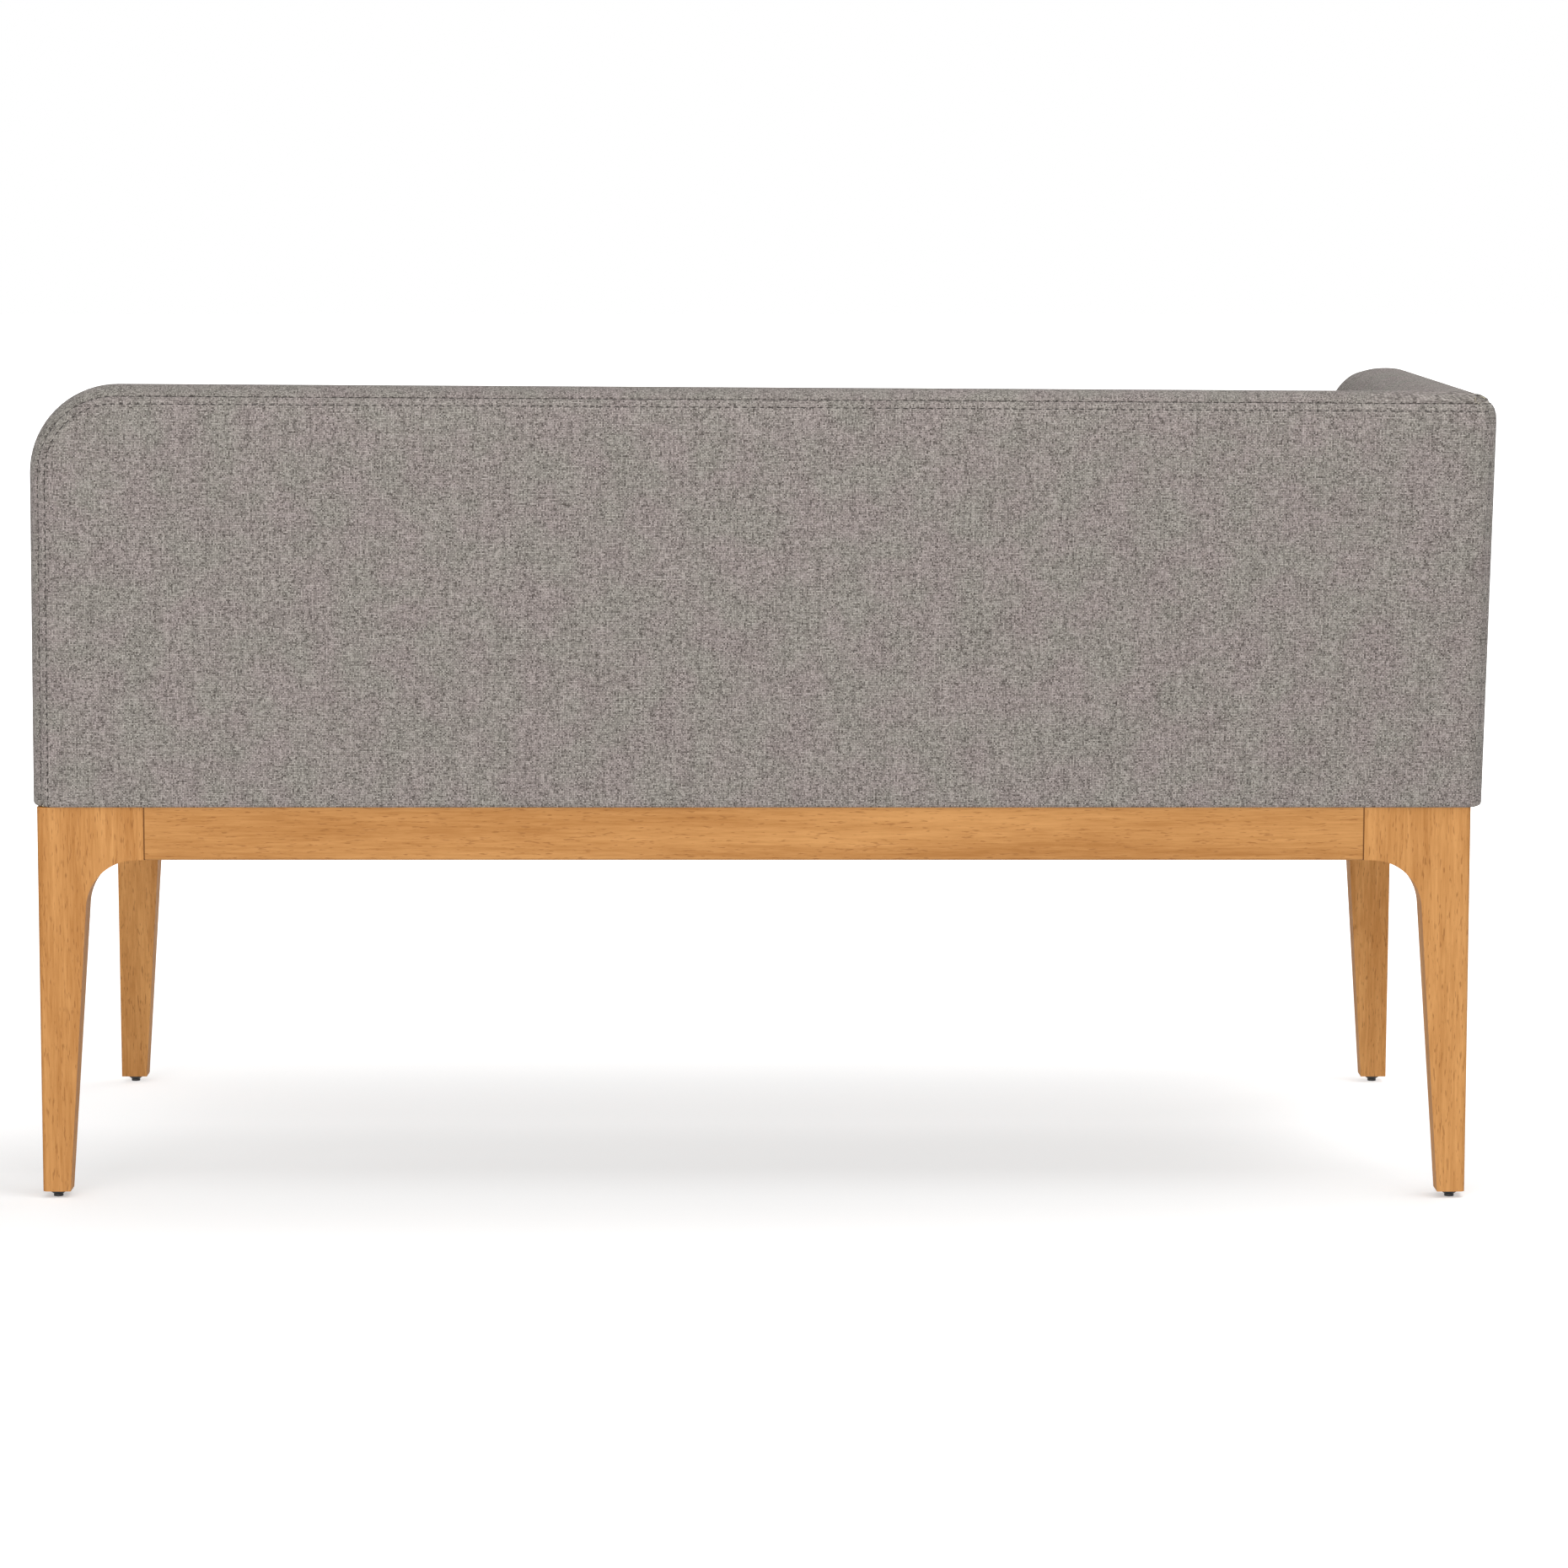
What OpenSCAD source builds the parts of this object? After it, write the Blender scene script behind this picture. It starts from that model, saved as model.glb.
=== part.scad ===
// Corner banquette: an oak base with four tapered legs carries an upholstered seat,
// a back along the rear and a wing across one end. The front faces -Y and the wing is at -X.

/* [Wooden base] */
// Width of the wooden base over the legs
frame_w = 1480; // [1100:10:2000]
// Depth of the wooden base over the legs
frame_d = 700; // [600:5:820]
// Height from the floor to the top of the wooden base
base_h = 410; // [370:5:450]
// Height of the aprons
apron_h = 55; // [48:1:80]
// Thickness of the aprons
apron_t = 24; // [20:1:32]
// Rounding of the aprons' lower outer edge
apron_edge_r = 3; // [1:0.5:6]

/* [Legs] */
// Width of a leg under its bracket, along the long aprons
leg_top_w = 53; // [44:1:64]
// Width of a leg at its foot
leg_foot_w = 29; // [22:1:42]
// Depth of a leg under its bracket, along the short aprons
leg_top_d = 42; // [36:1:56]
// Depth of a leg at its foot
leg_foot_d = 29; // [22:1:35]
// Radius of the curve between a leg and its apron
bracket_r = 52; // [30:1:70]
// Level part of the leg head between the curve and the apron
bracket_flat = 5; // [2:1:12]
// Rounding of a leg's outer corner
leg_edge_r = 5; // [2:0.5:10]

/* [Glides] */
// Height of a glide
glide_h = 7; // [4:0.5:12]
// Diameter of a glide against the leg
glide_top_d = 17; // [14:0.5:22]
// Diameter of a glide on the floor
glide_foot_d = 10; // [8:0.5:14]

/* [Base joints] */
// Diameter of the dowels
dowel_d = 8; // [6:1:10]
// Length of the dowels
dowel_l = 40; // [30:1:44]
// Distance between the two dowels of a joint
dowel_pitch = 26; // [20:1:28]
// Width of a cross rail
cross_rail_w = 32; // [26:1:50]
// Height of a cross rail and of a corner block
cross_rail_h = 45; // [36:1:46]
// Length of a corner block along each apron
block_side = 44; // [36:1:48]
// Diameter of the screws that hold the seat to the base
unit_screw_d = 5; // [4:0.5:6]
// Length of the screws that hold the seat to the base
unit_screw_l = 64; // [60:1:68]

/* [Upholstery outline] */
// How far the cover stands past the base at the free end
end_overhang = 5.5; // [2:0.5:10]
// How far the cover stands past the base at the wing
wing_overhang = 12; // [4:0.5:16]
// How far the cover stands past the base at the rear
rear_overhang = 4; // [2:0.5:10]
// How far the cover stands past the base at the front
front_overhang = 6; // [2:0.5:10]
// Height of the wing above the base, and of the back where it meets the wing
wing_h = 425.5; // [340:0.5:520]
// Rise of the back's top edge towards the free end, in degrees
back_rise = 0.325; // [0:0.025:0.5]
// Thickness of the back and of the wing
back_t = 102; // [98:1:120]
// Rounding of the upper free corners
corner_r = 90; // [70:1:120]
// Rounding of the rear edge
rim_r_out = 28; // [14:1:29]
// Rounding of the inner edge
rim_r_in = 52; // [30:1:60]
// Radius of the vertical edge where the back and the wing meet outside
meeting_r = 22; // [10:1:27]
// Outward lean of the wing in degrees
wing_lean = 1.3; // [0:0.05:1.5]
// Distance of the rear seam from the edge
rear_seam = 9; // [6:0.5:12]
// Distance of the inner seam from the edge
inner_seam = 62; // [61:1:70]
// Thickness of the covers
cover_t = 2; // [1:0.5:3]

/* [Back and wing frames] */
// Foam between the frame and the cover at the edges
edge_foam = 12; // [6:1:16]
// Foam between the panel and the rear cover
rear_foam_t = 6; // [4:1:8]
// Thickness of the rear panels
panel_t = 9; // [6:1:12]
// Depth of the posts and top rails
post_t = 35; // [30:1:38]
// Width of the posts
post_w = 45; // [35:1:60]
// Height of the top rails
top_rail_h = 45; // [30:1:60]
// Width of the back webbing straps
back_strap_w = 50; // [40:1:60]
// Number of back webbing straps
back_straps = 3; // [2:1:4]
// Length of the bolts between the posts and the seat rails
bolt_l = 82; // [74:1:88]
// Diameter of those bolts
bolt_d = 8; // [6:1:10]

/* [Seat] */
// Height of the seat's edge above the base
seat_edge_h = 70; // [62:1:90]
// Crown of the seat above its edge
seat_crown = 12; // [4:1:24]
// Rounding of the seat's upper edge
seat_round_r = 22; // [12:1:26]
// Rounding of the seat's front corner, seen from above
seat_corner_r = 26; // [18:1:40]
// Gap between the seat and the back or wing
seat_gap = 0.5; // [0.3:0.1:2]
// Width of the seat rails
seat_rail_w = 60; // [50:1:64]
// Height of the seat rails
seat_rail_h = 27; // [24:1:32]
// Width of the seat webbing straps
seat_strap_w = 70; // [50:1:80]
// Number of seat straps from front to rear
seat_straps = 9; // [5:1:11]
// Number of seat straps along the bench
long_straps = 3; // [2:1:4]
// Thickness of all webbing
strap_t = 1.5; // [1:0.25:2.5]
// Thickness of the dust cover under the seat
dust_t = 1; // [0.5:0.25:1.5]

/* [Hidden] */

$fn = 48;
// Overrun of every cut past the face that it opens
over = 1;
oak = [0.80, 0.57, 0.31];
softwood = [0.87, 0.78, 0.60];
ply = [0.78, 0.66, 0.47];
foam = [0.93, 0.90, 0.78];
fabric = [0.60, 0.58, 0.56];
webbing = [0.35, 0.30, 0.26];
lining = [0.12, 0.12, 0.13];
steel = [0.72, 0.72, 0.74];

// Upholstery sizes that follow from the outline
apron_z = base_h - apron_h;
lean_reach = (wing_h - rim_r_out) * sin(wing_lean) + rim_r_out * (1 - cos(wing_lean));
overall_w = frame_w + end_overhang + wing_overhang + lean_reach;
overall_d = frame_d + rear_overhang + front_overhang;
big = overall_w + overall_d;
free_x = overall_w / 2;
wing_x = free_x - frame_w - end_overhang - wing_overhang;
rear_y = overall_d / 2;
front_y = -rear_y;

// Faces of the wooden base
base_x = [wing_x + wing_overhang, free_x - end_overhang];
base_y = [front_y + front_overhang, rear_y - rear_overhang];
head_w = leg_top_w + bracket_r + bracket_flat;
head_d = leg_top_d + bracket_r + bracket_flat;

// Base joints
clearance = 0.3;
nail_d = 2.5;
nail_l = 22;
nail_head_d = 6;
nail_head_h = 1.5;
glide_rim_h = 2;
glide_pad_h = 2.5;
cross_rail_place_share = 0.17;
cross_x = frame_w * cross_rail_place_share;
block_screw_inset = 14;
screw_head_d = 2 * unit_screw_d;
screw_head_h = unit_screw_d / 2;
seam_reach_share = 0.6;
dowel_bite = 14;
pair_shares = [-0.25, 0.25];
rail_dowel_shares = [-0.3, 0.3];

// Layers of the back and wing, measured from the outer face of the cover
panel_at = cover_t + rear_foam_t;
post_at = panel_at + panel_t;
strap_at = post_at + post_t;
foam_at = strap_at + strap_t;
frame_in = cover_t + edge_foam;
unit_z = base_h + dust_t;
seat_rail_top = unit_z + seat_rail_h;
tuck_z = seat_rail_top + 2 * strap_t;

// Bolts
washer_d = 3 * bolt_d;
washer_t = bolt_d / 4;
bolt_head_d = 1.75 * bolt_d;
bolt_head_h = 0.65 * bolt_d;
bolt_sink = washer_t + bolt_head_h;
bolt_z = unit_z + seat_rail_h / 2;

corner_bolt_l = bolt_l - post_t / 2;
bolt_cover = 3;
corner_bolt_shares = [0.3, 0.72];
mid_post_x = cross_x - post_w;

// The back and the wing as slabs, [length, height], and how far they reach below the base's top
// before they are cut level
back = [(free_x - wing_x) * cos(back_rise), wing_h];
wing = [overall_d, wing_h];
slab_foot = over + back[0] * sin(back_rise) + back_t * sin(wing_lean);

// Notches in the seat rails: where they start in the slab's thickness and how deep they go
notch_at = back_t - rim_r_in + frame_in;
rail_notch = seat_rail_w / 2 - bolt_d / 2 - bolt_cover;

// Seat frame and seat pad outlines, [low, high]
rail_x = [wing_x + strap_at, free_x - frame_in];
rail_y = [front_y + frame_in, rear_y - strap_at];
pad_x = [wing_x + back_t + seat_gap, free_x];
pad_y = [front_y, rear_y - back_t - seat_gap];
pad_corner_r = 10;
least_r = 1;
seat_z = base_h + seat_edge_h;
arc_steps = 4;
side_steps = 5;
round_steps = 4;
crown_shares = [0.9, 0.72, 0.5, 0.25];
pad_folds = 6;
strap_inset = 6;
back_strap_shares = [0.3, 0.86];

// Places children at one corner of the base: a leg's own x and y run inward from its faces
module at_corner(free, rear) {
    translate([base_x[free], base_y[rear], 0])
        if (free == 1 && rear == 1) rotate([0, 0, 180]) children();
        else if (free == 1) mirror([1, 0, 0]) children();
        else if (rear == 1) mirror([0, 1, 0]) children();
        else children();
}

// Outline of one leg face: a tapered shaft with a plumb top
module shaft_outline(foot, top) {
    polygon([[0, glide_h], [foot, glide_h], [top, apron_z], [top, base_h], [0, base_h]]);
}

// Outline of one leg face with its curved bracket, tangent to the taper and to the apron
module bracket_outline(foot, top, head) {
    taper = (top - foot) / (apron_z - glide_h);
    stretch = sqrt(1 + taper * taper);
    arc_z = apron_z - bracket_r;
    arc_x = foot + taper * (arc_z - glide_h) + bracket_r * stretch;
    touch_z = arc_z + bracket_r * taper / stretch;
    shaft_outline(foot, top);
    translate([0, apron_z]) square([head, apron_h]);
    difference() {
        translate([0, touch_z]) square([arc_x, apron_z - touch_z]);
        translate([arc_x, arc_z]) circle(bracket_r);
    }
}

// Extrude an outline drawn in x, z along y, or one drawn in y, z along x
module along_y(depth) translate([0, depth, 0]) rotate([90, 0, 0]) linear_extrude(depth) children();
module along_x(width) rotate([90, 0, 90]) linear_extrude(width) children();

// The leg: two curved brackets grow out of a shaft that tapers on its two inner faces
module leg_body() {
    intersection() {
        union() {
            intersection() {
                along_y(head_d) bracket_outline(leg_foot_w, leg_top_w, head_w);
                along_x(head_w) shaft_outline(leg_foot_d, leg_top_d);
            }
            intersection() {
                along_x(head_w) bracket_outline(leg_foot_d, leg_top_d, head_d);
                along_y(head_d) shaft_outline(leg_foot_w, leg_top_w);
            }
        }
        linear_extrude(base_h) union() {
            translate([leg_edge_r, leg_edge_r]) circle(leg_edge_r);
            translate([leg_edge_r, 0]) square([head_w, head_d]);
            translate([0, leg_edge_r]) square([head_w, head_d]);
        }
    }
}

// Dowel places in a joint face: two, one above the other
module dowel_pair() {
    for (z = [-0.5, 0.5]) translate([0, 0, base_h - apron_h / 2 + z * dowel_pitch]) children();
}

module dowel() cylinder(d = dowel_d, h = dowel_l, center = true);

// The four dowels of one leg, in the leg's own directions
module leg_dowels() {
    translate([head_w, apron_t / 2, 0]) dowel_pair() rotate([0, 90, 0]) dowel();
    translate([apron_t / 2, head_d, 0]) dowel_pair() rotate([90, 0, 0]) dowel();
}

module glide_place() translate([leg_foot_w / 2, leg_foot_d / 2, 0]) children();

// Countersunk screw that points up from its head's underside
module screw(shank_d, head_d, head_h, length) {
    cylinder(d1 = head_d, d2 = shank_d, h = head_h);
    cylinder(d = shank_d, h = length);
}

module nail() {
    cylinder(d = nail_head_d, h = nail_head_h);
    cylinder(d = nail_d, h = nail_head_h + nail_l);
}

// The screw that runs up through a corner block, in the leg's own directions
module block_screw_place() {
    translate([leg_top_w + block_screw_inset, leg_top_d + block_screw_inset, base_h - cross_rail_h])
        children();
}

module unit_screw() screw(unit_screw_d, screw_head_d, screw_head_h, unit_screw_l);

// All screws between the base and the seat
module all_unit_screws() {
    for (free = [0, 1], rear = [0, 1]) at_corner(free, rear) block_screw_place() unit_screw();
    for (side = [-1, 1], y = [rail_y[0] + seat_rail_w / 2, rail_y[1] - seat_rail_w / 2])
        translate([side * cross_x, y, base_h - cross_rail_h]) unit_screw();
}

module leg(free, rear) {
    color(oak) at_corner(free, rear) difference() {
        leg_body();
        leg_dowels();
        glide_place() translate([0, 0, glide_h - over])
            cylinder(d = nail_d, h = over + glide_pad_h + nail_l);
    }
}

module glide(free, rear) {
    color("dimgray") at_corner(free, rear) glide_place() difference() {
        union() {
            cylinder(d = glide_foot_d, h = glide_pad_h);
            translate([0, 0, glide_pad_h])
                cylinder(d1 = glide_foot_d, d2 = glide_top_d, h = glide_h - glide_pad_h - glide_rim_h);
            translate([0, 0, glide_h - glide_rim_h]) cylinder(d = glide_top_d, h = glide_rim_h);
        }
        translate([0, 0, -over]) cylinder(d = nail_head_d, h = over + glide_pad_h + nail_head_h);
        cylinder(d = nail_d, h = glide_h + over);
    }
}

module glide_nails() {
    color(steel) for (free = [0, 1], rear = [0, 1])
        at_corner(free, rear) glide_place() translate([0, 0, glide_pad_h]) nail();
}

// Section of an apron, drawn in depth and height, with its lower outer edge rounded
module apron_section() {
    translate([apron_edge_r, 0]) square([apron_t - apron_edge_r, apron_h]);
    translate([0, apron_edge_r]) square([apron_t, apron_h - apron_edge_r]);
    translate([apron_edge_r, apron_edge_r]) circle(apron_edge_r);
}

// Places children against one long or one short side of the base, depth running inward
module at_long_side(rear) {
    translate([0, base_y[rear], 0]) if (rear == 1) mirror([0, 1, 0]) children(); else children();
}

module at_short_side(free) {
    translate([base_x[free], 0, 0]) if (free == 1) mirror([1, 0, 0]) children(); else children();
}

module all_leg_dowels() {
    for (free = [0, 1], rear = [0, 1]) at_corner(free, rear) leg_dowels();
}

// The dowels between the cross rails and the long aprons
module cross_rail_dowels() {
    for (side = [-1, 1], rear = [0, 1], share = pair_shares)
        at_long_side(rear)
            translate([side * cross_x + share * cross_rail_w, apron_t - dowel_bite + dowel_l / 2,
                    base_h - cross_rail_h / 2])
                rotate([90, 0, 0]) dowel();
}

module long_apron(rear) {
    color(oak) difference() {
        at_long_side(rear) translate([base_x[0] + head_w, 0, apron_z])
            along_x(frame_w - 2 * head_w) apron_section();
        all_leg_dowels();
        cross_rail_dowels();
    }
}

module short_apron(free) {
    color(oak) difference() {
        at_short_side(free) translate([0, base_y[0] + head_d, apron_z])
            along_y(frame_d - 2 * head_d) apron_section();
        all_leg_dowels();
    }
}

module cross_rail(side) {
    color(softwood) difference() {
        translate([side * cross_x - cross_rail_w / 2, base_y[0] + apron_t, base_h - cross_rail_h])
            cube([cross_rail_w, frame_d - 2 * apron_t, cross_rail_h]);
        cross_rail_dowels();
        all_unit_screws();
    }
}

module corner_block(free, rear) {
    color(softwood) difference() {
        at_corner(free, rear) translate([leg_top_w, leg_top_d, base_h - cross_rail_h])
            linear_extrude(cross_rail_h) polygon([[0, 0], [block_side, 0], [0, block_side]]);
        all_unit_screws();
    }
}

module base_dowels() {
    color(softwood) {
        all_leg_dowels();
        cross_rail_dowels();
    }
}

// Everything above a height
module above(z) translate([-big / 2, -big / 2, z]) cube([big, big, big]);

module rail_bar(x, y, length, width) {
    translate([x, y, unit_z]) cube([length, width, seat_rail_h]);
}

// The room that the seat frame and its webbing take inside the foam and the covers
module seat_frame_room() difference() {
    translate([rail_x[0], rail_y[0], base_h - over])
        cube([rail_x[1] - rail_x[0], rail_y[1] - rail_y[0], tuck_z - base_h + over]);
    rail_notches();
}

// Notches at two rail ends, where the rounded front of the wing and end of the back run down
module rail_notches() {
    length = back_t + seat_gap + cover_t - notch_at;
    translate([wing_x + notch_at, rail_y[0] - over, base_h - over])
        cube([length, rail_notch + over, big]);
    translate([rail_x[1] - rail_notch, rear_y - notch_at - length, base_h - over])
        cube([rail_notch + over, length, big]);
}

module seat_dowel(x, y) translate([x, y, bolt_z]) rotate([90, 0, 0]) dowel();

// Two dowels in each front joint, and one in each rear joint, on the inner side of the bolt
module all_seat_frame_dowels() {
    reach = seat_rail_w - dowel_bite + dowel_l / 2;
    for (end = [0, 1]) {
        x = end == 1 ? rail_x[1] - seat_rail_w / 2 : rail_x[0] + seat_rail_w / 2;
        for (share = rail_dowel_shares) seat_dowel(x + share * seat_rail_w, rail_y[0] + reach);
        seat_dowel(x + rail_dowel_shares[1 - end] * seat_rail_w, rail_y[1] - reach);
    }
}

module seat_frame_cuts() {
    all_seat_frame_dowels();
    all_unit_screws();
    all_bolts();
}

module long_seat_rail(rear) {
    y = rear == 1 ? rail_y[1] - seat_rail_w : rail_y[0];
    color(softwood) difference() {
        rail_bar(rail_x[0], y, rail_x[1] - rail_x[0], seat_rail_w);
        seat_frame_cuts();
        rail_notches();
    }
}

module short_seat_rail(free) {
    x = free == 1 ? rail_x[1] - seat_rail_w : rail_x[0];
    color(softwood) difference() {
        rail_bar(x, rail_y[0] + seat_rail_w, seat_rail_w, rail_y[1] - rail_y[0] - 2 * seat_rail_w);
        seat_frame_cuts();
    }
}

// A strap that runs along x from the origin, its ends folded double up to where the frame ends
module strap(length, width, fold, lift) {
    translate([0, -width / 2, lift]) cube([length, width, strap_t]);
    for (x = [0, length - fold]) translate([x, -width / 2, 0]) cube([fold, width, 2 * strap_t]);
}

module seat_webbing() {
    long = rail_x[1] - rail_x[0] - 2 * strap_inset;
    deep = rail_y[1] - rail_y[0] - 2 * strap_inset;
    fold = seat_rail_w - 2 * strap_inset;
    color(webbing) {
        for (i = [1:seat_straps])
            translate([rail_x[0] + seat_rail_w + (i - 0.5) * (long - 2 * fold) / seat_straps,
                    rail_y[0] + strap_inset, seat_rail_top])
                rotate([0, 0, 90]) strap(deep, seat_strap_w, fold, 0);
        for (i = [1:long_straps])
            translate([rail_x[0] + strap_inset,
                    rail_y[0] + seat_rail_w + i * (deep - 2 * fold) / (long_straps + 1), seat_rail_top])
                strap(long, seat_strap_w, fold, strap_t);
    }
}

module dust_cover() {
    color(lining) difference() {
        translate([wing_x + panel_at, rail_y[0], base_h])
            cube([rail_x[1] - wing_x - panel_at, rear_y - panel_at - rail_y[0], dust_t]);
        all_unit_screws();
        rail_notches();
    }
}

// Points of a quarter turn, and of the straight stretch after it
function turn(centre, r, from) =
    [for (i = [0:arc_steps]) centre + r * [cos(from + 90 * i / arc_steps), sin(from + 90 * i / arc_steps)]];
function between(p, q, steps) = [for (i = [1:steps]) p + (q - p) * i / (steps + 1)];

// The seat pad's outline from above, inset by a distance
function pad_corners(in) = [
    turn([pad_x[1] - max(in + least_r, seat_corner_r), pad_y[0] + max(in + least_r, seat_corner_r)],
        max(least_r, seat_corner_r - in), -90),
    turn([pad_x[1] - max(in + least_r, pad_corner_r), pad_y[1] - max(in + least_r, pad_corner_r)],
        max(least_r, pad_corner_r - in), 0),
    turn([pad_x[0] + max(in + least_r, pad_corner_r), pad_y[1] - max(in + least_r, pad_corner_r)],
        max(least_r, pad_corner_r - in), 90),
    turn([pad_x[0] + max(in + least_r, pad_corner_r), pad_y[0] + max(in + least_r, pad_corner_r)],
        max(least_r, pad_corner_r - in), 180)
];
function pad_outline(in) = let (c = pad_corners(in))
    [for (k = [0:3]) each concat(c[k], between(c[k][arc_steps], c[(k + 1) % 4][0], side_steps))];
pad_centre = [(pad_x[0] + pad_x[1]) / 2, (pad_y[0] + pad_y[1]) / 2];
pad_half = [(pad_x[1] - pad_x[0]) / 2, (pad_y[1] - pad_y[0]) / 2];

// The crown rises smoothly from the pad's edge to its centre
function crown(p) = let (u = (p.x - pad_centre.x) / pad_half.x, v = (p.y - pad_centre.y) / pad_half.y)
    seat_crown * (1 - u * u) * (1 - v * v);
function pad_level(outline, z) = [for (p = outline) [p.x, p.y, z + crown(p)]];
function shrunk(outline, share) = [for (p = outline) pad_centre + share * (p - pad_centre)];

// The pad's levels from z0 up, for a surface that lies a depth under the outside of the cover
function pad_levels(depth, z0) = let (r = seat_round_r - depth, zc = seat_z - seat_round_r) concat(
    [for (z = [z0, zc]) [for (p = pad_outline(depth)) [p.x, p.y, z]]],
    [for (i = [1:round_steps]) let (a = 90 * i / round_steps)
        pad_level(pad_outline(seat_round_r - r * cos(a)), zc + r * sin(a))],
    [for (share = crown_shares) pad_level(shrunk(pad_outline(seat_round_r), share), zc + r)],
    [[[pad_centre.x, pad_centre.y, zc + r + seat_crown]]]
);
ring = len(pad_outline(0));
rings = 2 + round_steps + len(crown_shares);
function flat(levels) = [for (level = levels) each level];

// Triangles of the skin from the first level to the crown's centre, from a first point number
function pad_skin(first) = concat(
    [for (k = [0:rings - 2], i = [0:ring - 1])
        let (a = first + k * ring + i, b = first + k * ring + (i + 1) % ring)
            each [[a, b + ring, b], [a, a + ring, b + ring]]],
    [for (i = [0:ring - 1])
        let (k = first + (rings - 1) * ring)
            [k + i, first + rings * ring, k + (i + 1) % ring]]
);
function turned(faces) = [for (f = faces) [f[2], f[1], f[0]]];

module pad_solid(depth, z0) {
    levels = pad_levels(depth, z0);
    middle = rings * ring + 1;
    polyhedron(
        concat(flat(levels), [[pad_centre.x, pad_centre.y, z0]]),
        concat(pad_skin(0), [for (i = [0:ring - 1]) [i, (i + 1) % ring, middle]]),
        convexity = pad_folds
    );
}

// The seat cover: one closed skin, its outside and its inside joined along the lower edge
module seat_cover_shell() {
    inner = rings * ring + 1;
    polyhedron(
        concat(flat(pad_levels(0, base_h)), flat(pad_levels(cover_t, base_h))),
        concat(pad_skin(0), turned(pad_skin(inner)),
            [for (i = [0:ring - 1])
                let (j = (i + 1) % ring)
                    each [[i, j, inner + j], [i, inner + j, inner + i]]]),
        convexity = pad_folds
    );
}

module seat_foam() color(foam) pad_solid(cover_t, tuck_z);

module seat_cover() color(fabric) difference() {
    seat_cover_shell();
    seat_frame_room();
}

// Foam strips around the outside of the seat frame, at the front and the free end
module seat_border_foam() {
    color(foam) difference() {
        translate([0, 0, unit_z]) linear_extrude(tuck_z - unit_z) polygon(pad_outline(cover_t));
        seat_frame_room();
    }
}

// A slab's own directions: x along it from the shared corner, y up, z inward from its outer face.
// The frames stand upright, and the foam and the covers follow the back's rise and the wing's lean.
module at_shared_corner(lean) {
    translate([wing_x, rear_y, base_h]) rotate([0, -lean, 0]) children();
}
module place_back() at_shared_corner(0) rotate([90, 0, 0]) children();
module place_rising_back() at_shared_corner(back_rise) rotate([90, 0, 0]) children();
module place_wing() at_shared_corner(0) rotate([90, 0, -90]) mirror([0, 0, 1]) children();
module place_leaning_wing() at_shared_corner(wing_lean) rotate([90, 0, -90]) mirror([0, 0, 1]) children();

// Centre of a slab's turned upper corner
function turn_x(s) = s[0] - corner_r;
function turn_y(s) = s[1] - corner_r;

// Outline of a slab inset from its top and free end, with its turned upper corner
module outline(s, in) {
    r = corner_r - in;
    translate([-over, -slab_foot]) square([turn_x(s) + over, s[1] - in + slab_foot]);
    translate([-over, -slab_foot]) square([s[0] - in + over, turn_y(s) + slab_foot]);
    translate([turn_x(s), turn_y(s)]) circle(r);
}

// Section of a slab's rim: x from the turn's centre outward, y inward from the outer face
module rim_section(in) {
    r = corner_r - in;
    r_out = rim_r_out - in;
    r_in = rim_r_in - in;
    translate([0, in]) square([r - r_out, r_out]);
    translate([0, rim_r_out]) square([r, back_t - rim_r_out - rim_r_in]);
    translate([0, back_t - rim_r_in]) square([r - r_in, r_in]);
    translate([r - r_out, rim_r_out]) circle(r_out);
    intersection() {
        translate([r - r_in, back_t - rim_r_in]) circle(r_in);
        square([r, back_t]);
    }
}

// Sweep a rim section up the free end, round the turned corner and along the top
module rim_sweep(s, from) {
    translate([turn_x(s), turn_y(s), 0]) {
        rotate([90, 0, 0]) linear_extrude(turn_y(s) + slab_foot) children();
        rotate_extrude(angle = 90) children();
        rotate([0, 0, 90]) mirror([0, 1, 0]) rotate([90, 0, 0]) linear_extrude(turn_x(s) - from) children();
    }
}

// A whole slab, inset by a depth on every outer face, its length starting at from
module slab(s, in, from) {
    translate([from, -slab_foot, in])
        cube([turn_x(s) - from, turn_y(s) + slab_foot, back_t - 2 * in]);
    rim_sweep(s, from) rim_section(in);
}

// Rounds the vertical edge where the back and the wing meet outside
module corner_rounding(in) {
    at_shared_corner(wing_lean) translate([0, 0, -slab_foot]) linear_extrude(big) difference() {
        translate([-over, -meeting_r]) square([meeting_r + over, meeting_r + over]);
        translate([meeting_r, -meeting_r]) circle(meeting_r - in);
    }
}

// The side of the mitre that the back or the wing lies on
module mitre_side(side) {
    translate([wing_x, rear_y, 0]) rotate([0, 0, -45])
        translate([-big / 2, side > 0 ? 0 : -big, 0]) cube([2 * big, big, big]);
}

module back_form(in) difference() {
    place_rising_back() slab(back, in, -over);
    corner_rounding(in);
}

module wing_form(in) difference() {
    place_leaning_wing() slab(wing, in, in);
    corner_rounding(in);
}

// The skin between the outside and the inside of the cover
module back_skin() intersection() {
    difference() {
        back_form(0);
        back_form(cover_t);
        seat_frame_room();
    }
    mitre_side(1);
    above(base_h);
}

module wing_skin() intersection() {
    difference() {
        wing_form(0);
        wing_form(cover_t);
        seat_frame_room();
    }
    mitre_side(-1);
    above(base_h);
}

// A slice of a slab between two depths, inset from its top and free end
module slice(s, low, high, inset) {
    translate([0, 0, low]) linear_extrude(high - low) outline(s, inset);
}

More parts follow.
